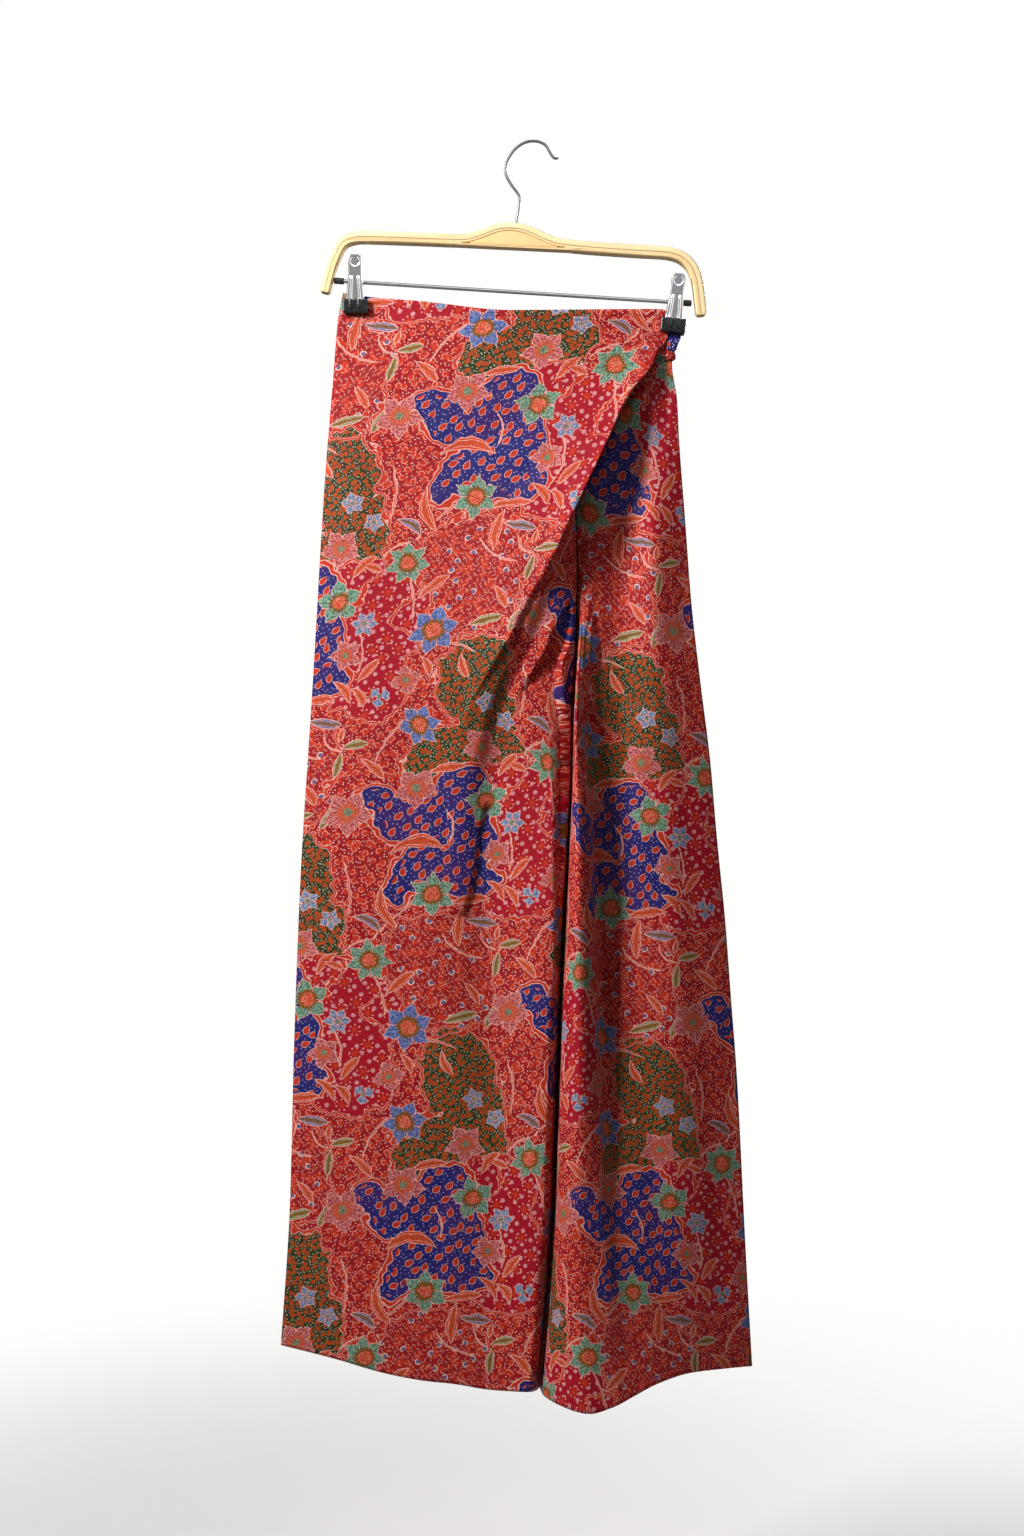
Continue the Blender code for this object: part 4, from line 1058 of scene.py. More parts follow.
def creased(grid, creases):
    """Depth of all the listed creases at each point."""
    across, drop = grid[:, :, 0], grid[:, :, 1]
    total = np.zeros_like(across)
    for start_across, start_drop, end_across, end_drop, half, depth in creases:
        run = np.array((end_across - start_across, end_drop - start_drop), float)
        length = np.linalg.norm(run)
        along_it = ((across - start_across) * run[0] + (drop - start_drop) * run[1]) / length
        aside = ((across - start_across) * run[1] - (drop - start_drop) * run[0]) / length
        share = np.clip(along_it / length, 0.0, 1.0)
        past = along_it - share * length
        fade = 0.35 + 0.65 * np.sin(np.pi * np.clip(share, 0.02, 0.98)) ** 0.6
        total += depth * fade * np.exp(-((aside / half) ** 2 + (past / (2.2 * half)) ** 2))
    return total


def eased(grid):
    """Share that fades to nothing at the cut edges, so that seams stay where they are.

    With it come each point's way along its row, below the waist's edge and above the hem.
    """
    step = np.linalg.norm(np.diff(grid, axis=1), axis=2)
    run = np.concatenate([np.zeros((len(grid), 1)), np.cumsum(step, axis=1)], axis=1)
    to_side = np.minimum(run, run[:, -1:] - run)
    to_top = grid[:, :, 1] - grid[0:1, :, 1]
    to_hem = grid[-1:, :, 1] - grid[:, :, 1]
    ease = np.clip(to_side / FADE_SIDE, 0, 1) * np.clip(to_top / FADE_WAIST, 0, 1)
    return ease * (0.4 + 0.6 * np.clip(to_hem / FADE_HEM, 0, 1)), run, to_top, to_hem


def table_values(rows, drops):
    return np.interp(drops, [row[0] for row in rows], [row[1] for row in rows])


def seen_at(across, drop, depth):
    """True x, y and z in metres of what is seen at (across, drop) and lies at a depth."""
    nearer = (VIEW_DISTANCE + depth) / VIEW_DISTANCE
    x = VIEW_ACROSS + (across - VIEW_ACROSS) * nearer
    z = -(VIEW_DROP + (drop - VIEW_DROP) * nearer)
    return x * MM, depth * MM, z * MM


def lattice_moves(u):
    """Column and drop of each repeat of the print that reaches the cloth."""
    return [
        (column * COLUMN, (column % 2) * HALF_DROP + row * 2 * HALF_DROP)
        for column in range(int(u.min() // COLUMN) - 2, int(u.max() // COLUMN) + 3)
        for row in range(-2, 4)
    ]


def blob_distance(u, v, blobs):
    """Distance in millimetres to the outline of overlapping ovals, negative inside."""
    nearest = np.full(u.shape, FIELD_REACH)
    for move_u, move_v in lattice_moves(u):
        for centre_u, centre_v, half_u, half_v, turn in blobs:
            x, y = u - centre_u - move_u, v - centre_v - move_v
            if (np.hypot(x, y) - half_u - half_v).min() > FIELD_REACH:
                continue
            cos, sin = math.cos(math.radians(turn)), math.sin(math.radians(turn))
            x, y = x * cos + y * sin, y * cos - x * sin
            reach = np.sqrt((x / half_u) ** 2 + (y / half_v) ** 2)
            outside = (reach - 1.0) * min(half_u, half_v)
            share = np.clip(0.5 + 0.5 * (nearest - outside) / FIELD_BLEND, 0, 1)
            nearest += (outside - nearest) * share - FIELD_BLEND * share * (1 - share)
    return nearest


def motif_places(u, v, motifs, is_leaf):
    """For each face, the place of its corners in its nearest motif, and the motif's cut."""
    centre_u, centre_v = u.mean(axis=1), v.mean(axis=1)
    nearest = np.full(len(u), 3.0)
    local = np.full((len(u), 4, 2), 9.0)
    cut = np.zeros((len(u), 3))
    for move_u, move_v in lattice_moves(u):
        near = (abs(centre_u - move_u) < 150) & (centre_v > move_v - 110)
        near = np.nonzero(near & (centre_v < move_v + 380))[0]
        for at_u, at_v, size, turn, *kind in motifs:
            cos, sin = math.cos(math.radians(turn)), math.sin(math.radians(turn))
            away = np.hypot(centre_u[near] - at_u - move_u, centre_v[near] - at_v - move_v)
            faces = near[away < size + 8]
            x, y = u[faces] - at_u - move_u, v[faces] - at_v - move_v
            x, y = (x * cos + y * sin) / size, (y * cos - x * sin) / size
            if is_leaf:
                bend, width, _ = kind
                y = y - bend * (x**2 - 0.5)
                middle = abs(y.mean(axis=1))
                beyond = np.maximum(abs(x.mean(axis=1)) - 1, middle - width) * size
            else:
                beyond = (np.hypot(x.mean(axis=1), y.mean(axis=1)) - 1.0) * size
            better = beyond < nearest[faces]
            chosen = faces[better]
            nearest[chosen] = beyond[better]
            local[chosen] = np.stack((x[better], y[better]), axis=2)
            cut[chosen] = (size, *kind[-2:])
    return local, cut


def finished(form, name, sharp=180.0):
    """A smooth mesh of a bmesh; edges over the sharp angle, in degrees, stay sharp."""
    mesh = bpy.data.meshes.new(name)
    form.to_mesh(mesh)
    form.free()
    mesh.shade_smooth()
    if sharp < 180.0:
        mesh.set_sharp_from_angle(angle=math.radians(sharp))
    return mesh


def add_piece(name, mesh, finish, thickness=0.0):
    """An object at the origin, with a wall on both sides of its mesh where it is a sheet."""
    obj = bpy.data.objects.new(name, mesh)
    bpy.context.scene.collection.objects.link(obj)
    mesh.materials.append(finish)
    if thickness:
        wall = obj.modifiers.new("wall", "SOLIDIFY")
        wall.thickness = thickness
        wall.offset = 0.0
    return obj


def ready(obj, node):
    """Rides a finished piece on the part, in the place of its plain solid."""
    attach(obj, "root")
    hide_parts(node)


def grid_form(columns, rows):
    """A flat grid of faces, from -0.5 to 0.5 both ways."""
    form = bmesh.new()
    bmesh.ops.create_grid(form, x_segments=columns - 1, y_segments=rows - 1, size=0.5)
    return form


def grid_mesh(name, points):
    """A mesh whose grid of faces runs through points given row by row."""
    rows, columns = points.shape[:2]
    form = grid_form(columns, rows)
    for vertex in form.verts:
        column = round((vertex.co.x + 0.5) * (columns - 1))
        row = round((0.5 - vertex.co.y) * (rows - 1))
        vertex.index = row * columns + column
        vertex.co = points[row, column]
    form.verts.sort()
    return finished(form, name)


def write_vectors(mesh, name, domain, values):
    layer = mesh.attributes.new(name, "FLOAT_VECTOR", domain)
    layer.data.foreach_set("vector", np.ascontiguousarray(values, np.float32).reshape(-1))


def dress_print(mesh, u, v, to_top, to_hem):
    """Writes the print's coordinates and motifs on a cloth mesh."""
    corners = np.empty(len(mesh.loops), np.int32)
    mesh.loops.foreach_get("vertex_index", corners)
    u, v = u.reshape(-1), v.reshape(-1)
    face_u, face_v = u[corners].reshape(-1, 4), v[corners].reshape(-1, 4)
    flowers, flower_cut = motif_places(face_u, face_v, FLOWERS, False)
    leaves, leaf_cut = motif_places(face_u, face_v, LEAVES, True)
    places = (
        ("print", np.stack((face_u, face_v), axis=2)), ("flower", flowers), ("leaf", leaves),
    )
    for name, values in places:
        layer = mesh.uv_layers.new(name=name)
        layer.uv.foreach_set("vector", np.ascontiguousarray(values, np.float32).reshape(-1))
    write_vectors(mesh, "flower_cut", "FACE", flower_cut)
    write_vectors(mesh, "leaf_cut", "FACE", leaf_cut)
    blue, olive, crimson, scribble = (
        blob_distance(u, v, blobs)
        for blobs in (BLUE_FIELD, OLIVE_FIELD, CRIMSON_FIELD, SCRIBBLE_FIELD)
    )
    edges = (scribble, to_top.reshape(-1), to_hem.reshape(-1))
    write_vectors(mesh, "fields", "POINT", np.stack((blue, olive, crimson), axis=1))
    write_vectors(mesh, "edges", "POINT", np.stack(edges, axis=1))


def cloth_piece(name, lines, spans, rows, print_at, creases, facing=-1.0):
    """One cut piece with folds, creases and print; facing is -1 for a front, 1 for a back."""
    grid = fold_grid(lines, spans, rows)
    ease, run, to_top, to_hem = eased(grid)
    relief = (crumple(grid) + creased(grid, creases)) * ease
    middle, half, rise = WAIST_FOLD
    turned_in = np.clip(1 - abs(to_top - middle) / half, 0, 1) ** 0.4 * rise
    u, v = print_at(grid, run)
    relieved = grid - grid_normals(grid, facing) * (relief - turned_in)[:, :, None]
    points = np.stack(seen_at(*np.moveaxis(relieved, 2, 0)), axis=2)
    mesh = grid_mesh(name + "_cloth", points)
    dress_print(mesh, u, v, to_top, to_hem)
    finish = material_once(printed_cotton, "wax_printed_cotton")
    obj = add_piece(name + "_cloth", mesh, finish, bpy.context.scene.pants_cloth.thickness)
    ready(obj, name)


def left_print(grid, run):
    """U from the left side and from the ridge, V from the height."""
    drops = grid[:, :, 1]
    at_ridge = slice(RIDGE_COLUMN, RIDGE_COLUMN + 1)
    left = table_values(U_LEFT, drops[:, :1])
    ridge = table_values(U_RIDGE, drops[:, at_ridge])
    share = run / run[:, at_ridge]
    past = ridge + run - run[:, at_ridge]
    return np.where(share <= 1, left + (ridge - left) * share, past), drops - V_START


def right_print(grid, run, back=-1.0):
    """U from the right side, running on past it where back is 1; V from the height."""
    drops = grid[:, :, 1]
    u = table_values(U_RIGHT, drops[:, -1:]) + back * (run[:, -1:] - run)
    return u, drops - V_START - table_values(V_RIGHT_LAG, drops)


def left_back_print(grid, run):
    drops = grid[:, :, 1]
    return table_values(U_LEFT, drops[:, :1]) - run, drops - V_START


def right_back_print(grid, run):
    return right_print(grid, run, 1.0)


def smooth_route(rows, step):
    """Points a step apart on a smooth curve through given points."""
    points = [Vector(row) for row in rows]
    route = []
    for i in range(len(points) - 1):
        before, start, end = points[max(i - 1, 0)], points[i], points[i + 1]
        after = points[min(i + 2, len(points) - 1)]
        parts = max(1, round((end - start).length / step))
        for t in (k / parts for k in range(parts)):
            route.append(0.5 * (
                2 * start
                + (end - before) * t
                + (2 * before - 5 * start + 4 * end - after) * t**2
                + (3 * start - before - 3 * end + after) * t**3
            ))
    route.append(points[-1])
    return route


def offset_route(route, distance):
    """The route moved to its lower side by a distance."""
    shifted = []
    for i, point in enumerate(route):
        ahead = route[min(i + 1, len(route) - 1)] - route[max(i - 1, 0)]
        shifted.append(point + Vector((-ahead.y, ahead.x)).normalized() * distance)
    return shifted


def crown_foot(across):
    """Drop of the lower lamination's foot where it runs straight under the crown."""
    (left, left_drop), (right, right_drop) = CROWN_FOOT
    return left_drop + (across - left) / (right - left) * (right_drop - left_drop)


def rounded_tip(edge, other, back):
    """Corner of a lamination's tip: the edge ends early and an arc leads to the tip's face."""
    end, before = edge[-1], edge[-2]
    along_edge = (end - before).normalized()
    inward = (other[-1] - end).normalized()
    centre = end - along_edge * back + inward * back
    arc = [
        centre + (along_edge * math.sin(turn) - inward * math.cos(turn)) * back
        for turn in (k * math.pi / 12 for k in range(7))
    ]
    return [p for p in edge if (p - end).dot(along_edge) < -back - 0.5] + arc


def ribbon(outer, inner, outer_radius, inner_radius):
    """Outline of a lamination between two edges, with rounded corners at both tips."""
    edges = []
    for edge, other, radius in ((outer, inner, outer_radius), (inner, outer, inner_radius)):
        forward = rounded_tip(edge, other, radius)
        edges.append(rounded_tip(forward[::-1], other[::-1], radius)[::-1])
    return edges[0] + edges[1][::-1]


def split_outline(least, gap):
    """The lens between the split halves, where it is taller than least, less a gap all round."""
    crown = offset_route(smooth_route(BOW_TOP, BOW_STEP), UPPER_PLY + GAP + SPLIT_PLY)
    (left, _), (right, _) = CROWN_FOOT
    over = [
        Vector((p.x, p.y + gap))
        for p in crown
        if left < p.x < right and crown_foot(p.x) - SPLIT_PLY - p.y > least
    ]
    ends = (over[-1].x, over[0].x)
    return over + [Vector((x, crown_foot(x) - SPLIT_PLY - gap)) for x in ends]


def curve_form(curve):
    """A curve's mesh as a bmesh without doubled points."""
    guide = bpy.data.objects.new(curve.name + "_line", curve)
    bpy.context.scene.collection.objects.link(guide)
    bpy.context.view_layer.update()
    evaluated = guide.evaluated_get(bpy.context.evaluated_depsgraph_get())
    mesh = bpy.data.meshes.new_from_object(evaluated)
    form = bmesh.new()
    form.from_mesh(mesh)
    bpy.data.objects.remove(guide)
    bpy.data.meshes.remove(mesh)
    bmesh.ops.remove_doubles(form, verts=form.verts, dist=0.00001)
    return form


def flat_mesh(name, outlines, depth, edge):
    """A slab with rounded edges from flat outlines of (across, drop), the second one a hole."""
    curve = bpy.data.curves.new(name, "CURVE")
    curve.dimensions = "2D"
    curve.fill_mode = "BOTH"
    curve.extrude = (depth / 2 - edge) * MM
    curve.bevel_depth = edge * MM
    curve.bevel_resolution = 3
    curve.offset = -edge * MM
    for outline in outlines:
        spline = curve.splines.new("POLY")
        spline.use_cyclic_u = True
        spline.points.add(len(outline) - 1)
        for point, (across, drop) in zip(spline.points, outline):
            point.co = (across * MM, -drop * MM, 0.0, 1.0)
    form = curve_form(curve)
    bmesh.ops.rotate(form, verts=form.verts, matrix=Matrix.Rotation(math.pi / 2, 3, "X"))
    return finished(form, name, 40)


def write_grain(mesh, route):
    """For each point: its way along the bow, its height across the layers, and its depth."""
    places = np.empty(len(mesh.vertices) * 3, np.float32)
    mesh.vertices.foreach_get("co", places)
    places = places.reshape(-1, 3) / MM
    line = np.array([(point.x, -point.y) for point in route])
    steps = np.linalg.norm(np.diff(line, axis=0), axis=1)
    stations = np.concatenate([[0.0], np.cumsum(steps)])
    away = np.linalg.norm(places[:, None, (0, 2)] - line[None], axis=2)
    nearest = away.argmin(axis=1)
    values = np.stack((stations[nearest], away.min(axis=1), places[:, 1]), axis=1)
    write_vectors(mesh, "grain", "POINT", values)


def tube_mesh(name, places, width, start_radii=()):
    """A round wire through places in metres, with closed ends."""
    curve = bpy.data.curves.new(name, "CURVE")
    curve.dimensions = "3D"
    curve.bevel_depth = width / 2 * MM
    curve.bevel_resolution = 6
    curve.use_fill_caps = True
    spline = curve.splines.new("POLY")
    spline.points.add(len(places) - 1)
    for point, place in zip(spline.points, places):
        point.co = (*place, 1.0)
        point.radius = 1.0
    for point, radius in zip(spline.points, start_radii):
        point.radius = radius
    return finished(curve_form(curve), name, 50)


def turned_mesh(name, profile, place, axis, closed=False):
    """A profile of (radius, length) spun about an axis that starts at a place."""
    form = bmesh.new()
    points = [form.verts.new((radius * MM, 0.0, length * MM)) for radius, length in profile]
    pairs = list(zip(points, points[1:]))
    if closed:
        pairs.append((points[-1], points[0]))
    edges = [form.edges.new(pair) for pair in pairs]
    bmesh.ops.spin(
        form, geom=[*points, *edges], cent=(0, 0, 0), axis=(0, 0, 1), angle=2 * math.pi,
        steps=48, use_merge=True, use_duplicate=False,
    )
    bmesh.ops.remove_doubles(form, verts=form.verts, dist=0.000005)
    bmesh.ops.recalc_face_normals(form, faces=form.faces)
    move = Matrix.Translation(place) @ axis.to_track_quat("Z", "Y").to_matrix().to_4x4()
    bmesh.ops.transform(form, matrix=move, verts=form.verts)
    return finished(form, name, 35)


def held(value, low=0.0, high=1.0):
    return min(max(value, low), high)


def lever_point(column, down, foot_depth, side, local):
    """A point of a lever's middle sheet, at a column from -1 to 1 and a way down."""
    half = hermite(LEVER_ROWS, down, 1)
    across = column * half
    rise = 0.0
    for middle in (-0.5, 0.5):
        away = abs(across - middle * half) / FLUTE_HALF
        if away < 1:
            rise = FLUTE_RISE * (1 - away**2) ** 0.5
    rise *= held((down - FLUTE_START) / FLUTE_RUN_OUT) ** 0.5
    drop, radius, press, slope = DIMPLE
    away = math.hypot(across, down - drop) / radius
    rise -= press * held((1.0 - away) / slope)
    curl = max(abs(column) - CURL_START, 0.0) / (1.0 - CURL_START)
    out = hermite(LEVER_ROWS, down, 2) + rise - CURL_DEPTH * curl**2
    return local @ (Vector((across, foot_depth + side * out, -down)) * MM)


def lever_mesh(name, local, side, foot_depth):
    length = CLIP_LENGTH + LEVER_IN_PAD
    form = grid_form(57, 76)
    for vertex in form.verts:
        down = (0.5 - vertex.co.y) ** 1.15 * length
        vertex.co = lever_point(vertex.co.x * 2, down, foot_depth, side, local)
    bmesh.ops.recalc_face_normals(form, faces=form.faces)
    return finished(form, name)


def pad_mesh(name, local, side, face):
    """A dipped sleeve over the lever's foot, swollen over its two flutes, with two notches."""
    half = Vector((PAD_WIDTH, PAD_THICKNESS, PAD_HEIGHT)) / 2
    form = bmesh.new()
    bmesh.ops.create_cube(form, size=2.0)
    bmesh.ops.subdivide_edges(form, edges=form.edges[:], cuts=27, use_grid_fill=True)
    for vertex in form.verts:
        corner = Vector(a * b for a, b in zip(vertex.co, half))
        core = Vector(held(a, PAD_RADIUS - b, b - PAD_RADIUS) for a, b in zip(corner, half))
        out = corner - core
        if out.length:
            corner = core + out.normalized() * PAD_RADIUS
        front = max(vertex.co.y * side, 0.0)
        over = front * held(0.8 + vertex.co.z)
        notch = 0.0
        for flute in (-FLUTE_ACROSS, FLUTE_ACROSS):
            corner.y += side * 0.75 * over * math.exp(-((corner.x - flute) / 1.5) ** 2)
            notch += math.exp(-((corner.x - flute - 2.4) / 0.9) ** 2)
        corner.z -= 1.8 * notch * max(vertex.co.z, 0.0) ** 6 * front
        vertex.co = corner * MM
    centre = Vector((0.0, face + side * PAD_THICKNESS / 2, -CLIP_LENGTH - PAD_HEIGHT / 2))
    move = local @ Matrix.Translation(centre * MM)
    bmesh.ops.transform(form, matrix=move, verts=form.verts)
    return finished(form, name, 40)


class PANTS_PG_cloth(bpy.types.PropertyGroup):
    thickness: bpy.props.FloatProperty(
        name="Cloth thickness", description="Thickness of the printed cotton",
        default=0.0007, min=0.0004, max=0.0015, unit="LENGTH",
    )
    blue: bpy.props.FloatVectorProperty(
        name="Blue ground", description="Darkest field of the print, and the tie",
        default=(0.014, 0.014, 0.140), size=3, min=0.0, max=1.0, subtype="COLOR",
    )
    crimson: bpy.props.FloatVectorProperty(
        name="Crimson ground", description="Plain red field of the print",
        default=(0.38, 0.004, 0.017), size=3, min=0.0, max=1.0, subtype="COLOR",
    )
    orange_red: bpy.props.FloatVectorProperty(
        name="Orange red", description="Drops, discs and outlines of the print",
        default=(0.55, 0.034, 0.012), size=3, min=0.0, max=1.0, subtype="COLOR",
    )
    green: bpy.props.FloatVectorProperty(
        name="Dark green", description="Olive field of the print",
        default=(0.016, 0.029, 0.008), size=3, min=0.0, max=1.0, subtype="COLOR",
    )


class PANTS_PG_hanger(bpy.types.PropertyGroup):
    pale_wood: bpy.props.FloatVectorProperty(
        name="Pale wood", description="Main colour of the bow",
        default=(0.95, 0.80, 0.46), size=3, min=0.0, max=1.0, subtype="COLOR",
    )
    dark_wood: bpy.props.FloatVectorProperty(
        name="Darker wood", description="Colour of the grain and of the plate",
        default=(0.86, 0.62, 0.30), size=3, min=0.0, max=1.0, subtype="COLOR",
    )
    shine: bpy.props.FloatProperty(
        name="Steel roughness", description="Roughness of the plated wire and levers",
        default=0.16, min=0.02, max=0.6, subtype="FACTOR",
    )


class PANTS_PG_stage(bpy.types.PropertyGroup):
    floor_drop: bpy.props.FloatProperty(
        name="Floor below hook", description="How far the floor lies below the hook's top",
        default=1.62, min=1.3, max=3.0, unit="LENGTH",
    )
    key_power: bpy.props.FloatProperty(
        name="Main light", description="Power of the soft light from the upper left, in watts",
        default=30.5, min=0.0, max=500.0,
    )
    backdrop: bpy.props.FloatProperty(
        name="Backdrop brightness", description="How bright the pale surroundings look",
        default=1.0, min=0.0, max=2.0,
    )


WRAP_LINES = (
    LEFT_SIDE, LEFT_HIP, LEFT_THIGH, LEFT_MIDDLE, RIDGE, UNDER_RIDGE, INNER_THIGH, INNER_LIP,
    INNER_SEAM,
)
# Steps across each piece between its fold lines, and its rows from waist to hem
WRAP_SPANS, WRAP_ROWS = (9, 18, 23, 36, 12, 14, 10, 8), 330
RIGHT_SPANS, RIGHT_ROWS = (9, 14, 10, 8, 12, 13, 12, 14), 310
LEFT_BACK_SPANS, RIGHT_BACK_SPANS, BACK_ROWS = (10, 18, 22, 22), (22, 18, 16, 10), 250
RIDGE_COLUMN = sum(WRAP_SPANS[:4])
# Drop at which the right front starts beside the inner seam
RIGHT_TOP = 222


class PANTS_OT_fronts(bpy.types.Operator):
    """Makes the left leg's front with its wrap, and the right leg's front with its roll"""

    bl_idname = "pants.make_fronts"
    bl_label = "Make the fronts"

    def execute(self, context):
        cloth_piece(
            "wrap_front", WRAP_LINES, WRAP_SPANS, WRAP_ROWS, left_print, CREASES,
        )
        start = (RIGHT_TOP, *(hermite(INNER_SEAM, RIGHT_TOP, column) for column in (1, 2)))
        right_seam = beside((start, *INNER_SEAM[3:]), RIGHT_START)
        lines = (
            right_seam, ROLL_FLANK, ROLL_CREST, ROLL_BACK, RIGHT_VALLEY, RIGHT_THIGH,
            RIGHT_MIDDLE, RIGHT_HIP, RIGHT_SIDE,
        )
        cloth_piece(
            "right_front", lines, RIGHT_SPANS, RIGHT_ROWS, right_print,
            CREASES + BESIDE_WRAP,
        )
        return {"FINISHED"}


class PANTS_OT_backs(bpy.types.Operator):
    """Makes the two plain back panels"""

    bl_idname = "pants.make_backs"
    bl_label = "Make the backs"

    def execute(self, context):
        left = (
            mirrored_depth(LEFT_SIDE), LEFT_BACK_HIP, LEFT_BACK_MIDDLE, LEFT_BACK_INNER,
            back_seam(0.0, 0.0),
        )
        cloth_piece(
            "left_back", left, LEFT_BACK_SPANS, BACK_ROWS, left_back_print, BACK_CREASES,
            1.0,
        )
        side = RIGHT_BACK_SIDE + mirrored_depth(RIGHT_SIDE)[3:]
        right = (
            back_seam(*BACK_LAP), RIGHT_BACK_INNER, RIGHT_BACK_MIDDLE, RIGHT_BACK_HIP, side,
        )
        cloth_piece(
            "right_back", right, RIGHT_BACK_SPANS, BACK_ROWS, right_back_print, BACK_CREASES,
            1.0,
        )
        return {"FINISHED"}


class PANTS_OT_tie(bpy.types.Operator):
    """Makes the stretch of tie under the right clip and the knot that it ends in"""

    bl_idname = "pants.make_tie"
    bl_label = "Make the tie and its knot"

    def execute(self, context):
        form = grid_form(17, 25)
        top, foot = TIE[0][0], TIE[-1][0]
        for vertex in form.verts:
            step = vertex.co.x * 2
            drop = top + (0.5 - vertex.co.y) * (foot - top)
            gathered = held((drop - TIE_GATHERED) / 14)
            depth = hermite(TIE, drop, 3) + 0.55 * gathered * math.cos(step * 8.0) - 0.2
            vertex.co = seen_at(hermite(TIE, drop, 1) + step * hermite(TIE, drop, 2), drop, depth)
        blue = tuple(context.scene.pants_cloth.blue)
        strap = material_once(tie_cotton, "dark_blue_cotton", blue, (0.62, 0.52, 0.66))
        tie = add_piece("waist_tie_strap", finished(form, "waist_tie"), strap, TIE_THICKNESS * MM)
        ready(tie, "waist_tie")

        form = bmesh.new()
        bmesh.ops.create_icosphere(form, subdivisions=5, radius=0.5)
        for vertex in form.verts:
            x, y, z = vertex.co
            crease = 1.0 - 0.14 * math.cos(3 * math.atan2(z, x) + 5 * y) ** 2
            crease -= 0.05 * abs(math.sin(9 * z + 4 * x))
            vertex.co = Vector(a * b * crease for a, b in zip(vertex.co, KNOT_SIZE)) * MM
        drop, across, depth = KNOT_CENTRE
        bmesh.ops.translate(form, verts=form.verts, vec=seen_at(across, drop, depth))
        red = (0.26, 0.008, 0.012)
        looped = material_once(tie_cotton, "dark_red_cotton", red, (0.80, 0.42, 0.36))
        knot = add_piece("tied_knot", finished(form, "tie_knot"), looped)
        ready(knot, "tie_knot")
        return {"FINISHED"}


class PANTS_OT_bow(bpy.types.Operator):
    """Makes the hanger's two bent laminations and the plate between them"""

    bl_idname = "pants.make_bow"
    bl_label = "Make the wooden bow"

    def execute(self, context):
        hanger = context.scene.pants_hanger
        pale, dark = tuple(hanger.pale_wood), tuple(hanger.dark_wood)
        warmer = tuple(a * b for a, b in zip(pale, (0.97, 0.86, 0.78)))
        deeper = tuple(a * b for a, b in zip(pale, (0.90, 0.68, 0.50)))
        top = smooth_route(BOW_TOP, BOW_STEP)
        glue = offset_route(top, UPPER_PLY)
        under = offset_route(top, UPPER_PLY + GLUE)
        left, right = CROWN_FOOT[0][0], CROWN_FOOT[1][0]
        foot = [
            Vector((p.x, crown_foot(p.x))) if left < p.x < right else p
            for p in offset_route(top, UPPER_PLY + GAP + LOWER_PLY)
        ]
        upper = [ribbon(top, glue, TIP_RADIUS, INNER_RADIUS)]
        lower = [ribbon(under, foot, INNER_RADIUS, TIP_RADIUS), split_outline(SPLIT_LEAST, 0.0)]
        plate = [split_outline(PLATE_LEAST, GAP)]
        for part, outlines, depth, edge, slot, tone, glue_side in (
            ("upper", upper, BOW_DEPTH, BOW_EDGE, "pale_wood", pale, (GLUE_ABOVE,)),
            ("lower", lower, BOW_DEPTH, BOW_EDGE, "pale_wood", warmer, (GLUE_BELOW,)),
            ("plate", plate, PLATE_DEPTH, PLATE_EDGE, "darker_wood", deeper, ()),
        ):
            name = "bow_" + part
            mesh = flat_mesh(name, outlines, depth, edge)
            write_grain(mesh, top)
            finish = material_once(varnished_wood, part + "_wood", tone, dark, glue_side)
            ready(add_piece(name + "_wood", mesh, finish), name)
        return {"FINISHED"}


def at_bow(across, drop):
    """A point in the bow's middle plane, in millimetres."""
    return Vector((across, 0.0, -drop))


class PANTS_OT_hook(bpy.types.Operator):
    """Makes the bent wire hook"""

    bl_idname = "pants.make_hook"
    bl_label = "Make the hook"

    def execute(self, context):
        places = [at_bow(*point) * MM for point in smooth_route(HOOK, HOOK_STEP)]
        mesh = tube_mesh("hanger_hook", places, WIRE, ROUND_TIP)
        shine = context.scene.pants_hanger.shine
        steel = material_once(plated, "hook_steel", (0.15, 0.15, 0.155), shine + 0.22, 0.08)
        ready(add_piece("hook_wire", mesh, steel), "hanger_hook")
        return {"FINISHED"}


class PANTS_OT_rod(bpy.types.Operator):
    """Makes the cross rod and the caps at its ends"""

    bl_idname = "pants.make_rod"
    bl_label = "Make the cross rod"

    def execute(self, context):
        start, end = (at_bow(*place) * MM for place in ROD_ENDS)
        run = (end - start).normalized()
        seat = run * ((CAP_LENGTH - CAP_GRIP + GAP) * MM)
        places = [(start + seat).lerp(end - seat, k / 12) for k in range(13)]
        shine = context.scene.pants_hanger.shine
        steel = material_once(plated, "polished_wire", (0.42, 0.42, 0.43), shine + 0.12, 0.08)
        rod = add_piece("cross_rod", tube_mesh("hanger_rod", places, ROD), steel)
        ready(rod, "hanger_rod")
        radius, bore = CAP_WIDTH / 2, ROD / 2 + CAP_PLAY
        profile = (
            (0.0, 0.0), (radius - 1.1, 0.0), (radius - 0.5, 0.15), (radius - 0.14, 0.5),
            (radius, 1.1), (radius, CAP_LENGTH - 0.5), (radius - 0.15, CAP_LENGTH - 0.12),
            (radius - 0.5, CAP_LENGTH), (bore, CAP_LENGTH), (bore, CAP_LENGTH - CAP_GRIP),
            (0.0, CAP_LENGTH - CAP_GRIP),
        )
        black = material_once(moulded_black, "moulded_cap", (0.013, 0.013, 0.015), 0.36, 0.1)
        for name, tip, inward in (("rod_cap_left", start, run), ("rod_cap_right", end, -run)):
            mesh = turned_mesh(name, profile, tip, inward)
            ready(add_piece(name + "_moulding", mesh, black), name)
        return {"FINISHED"}


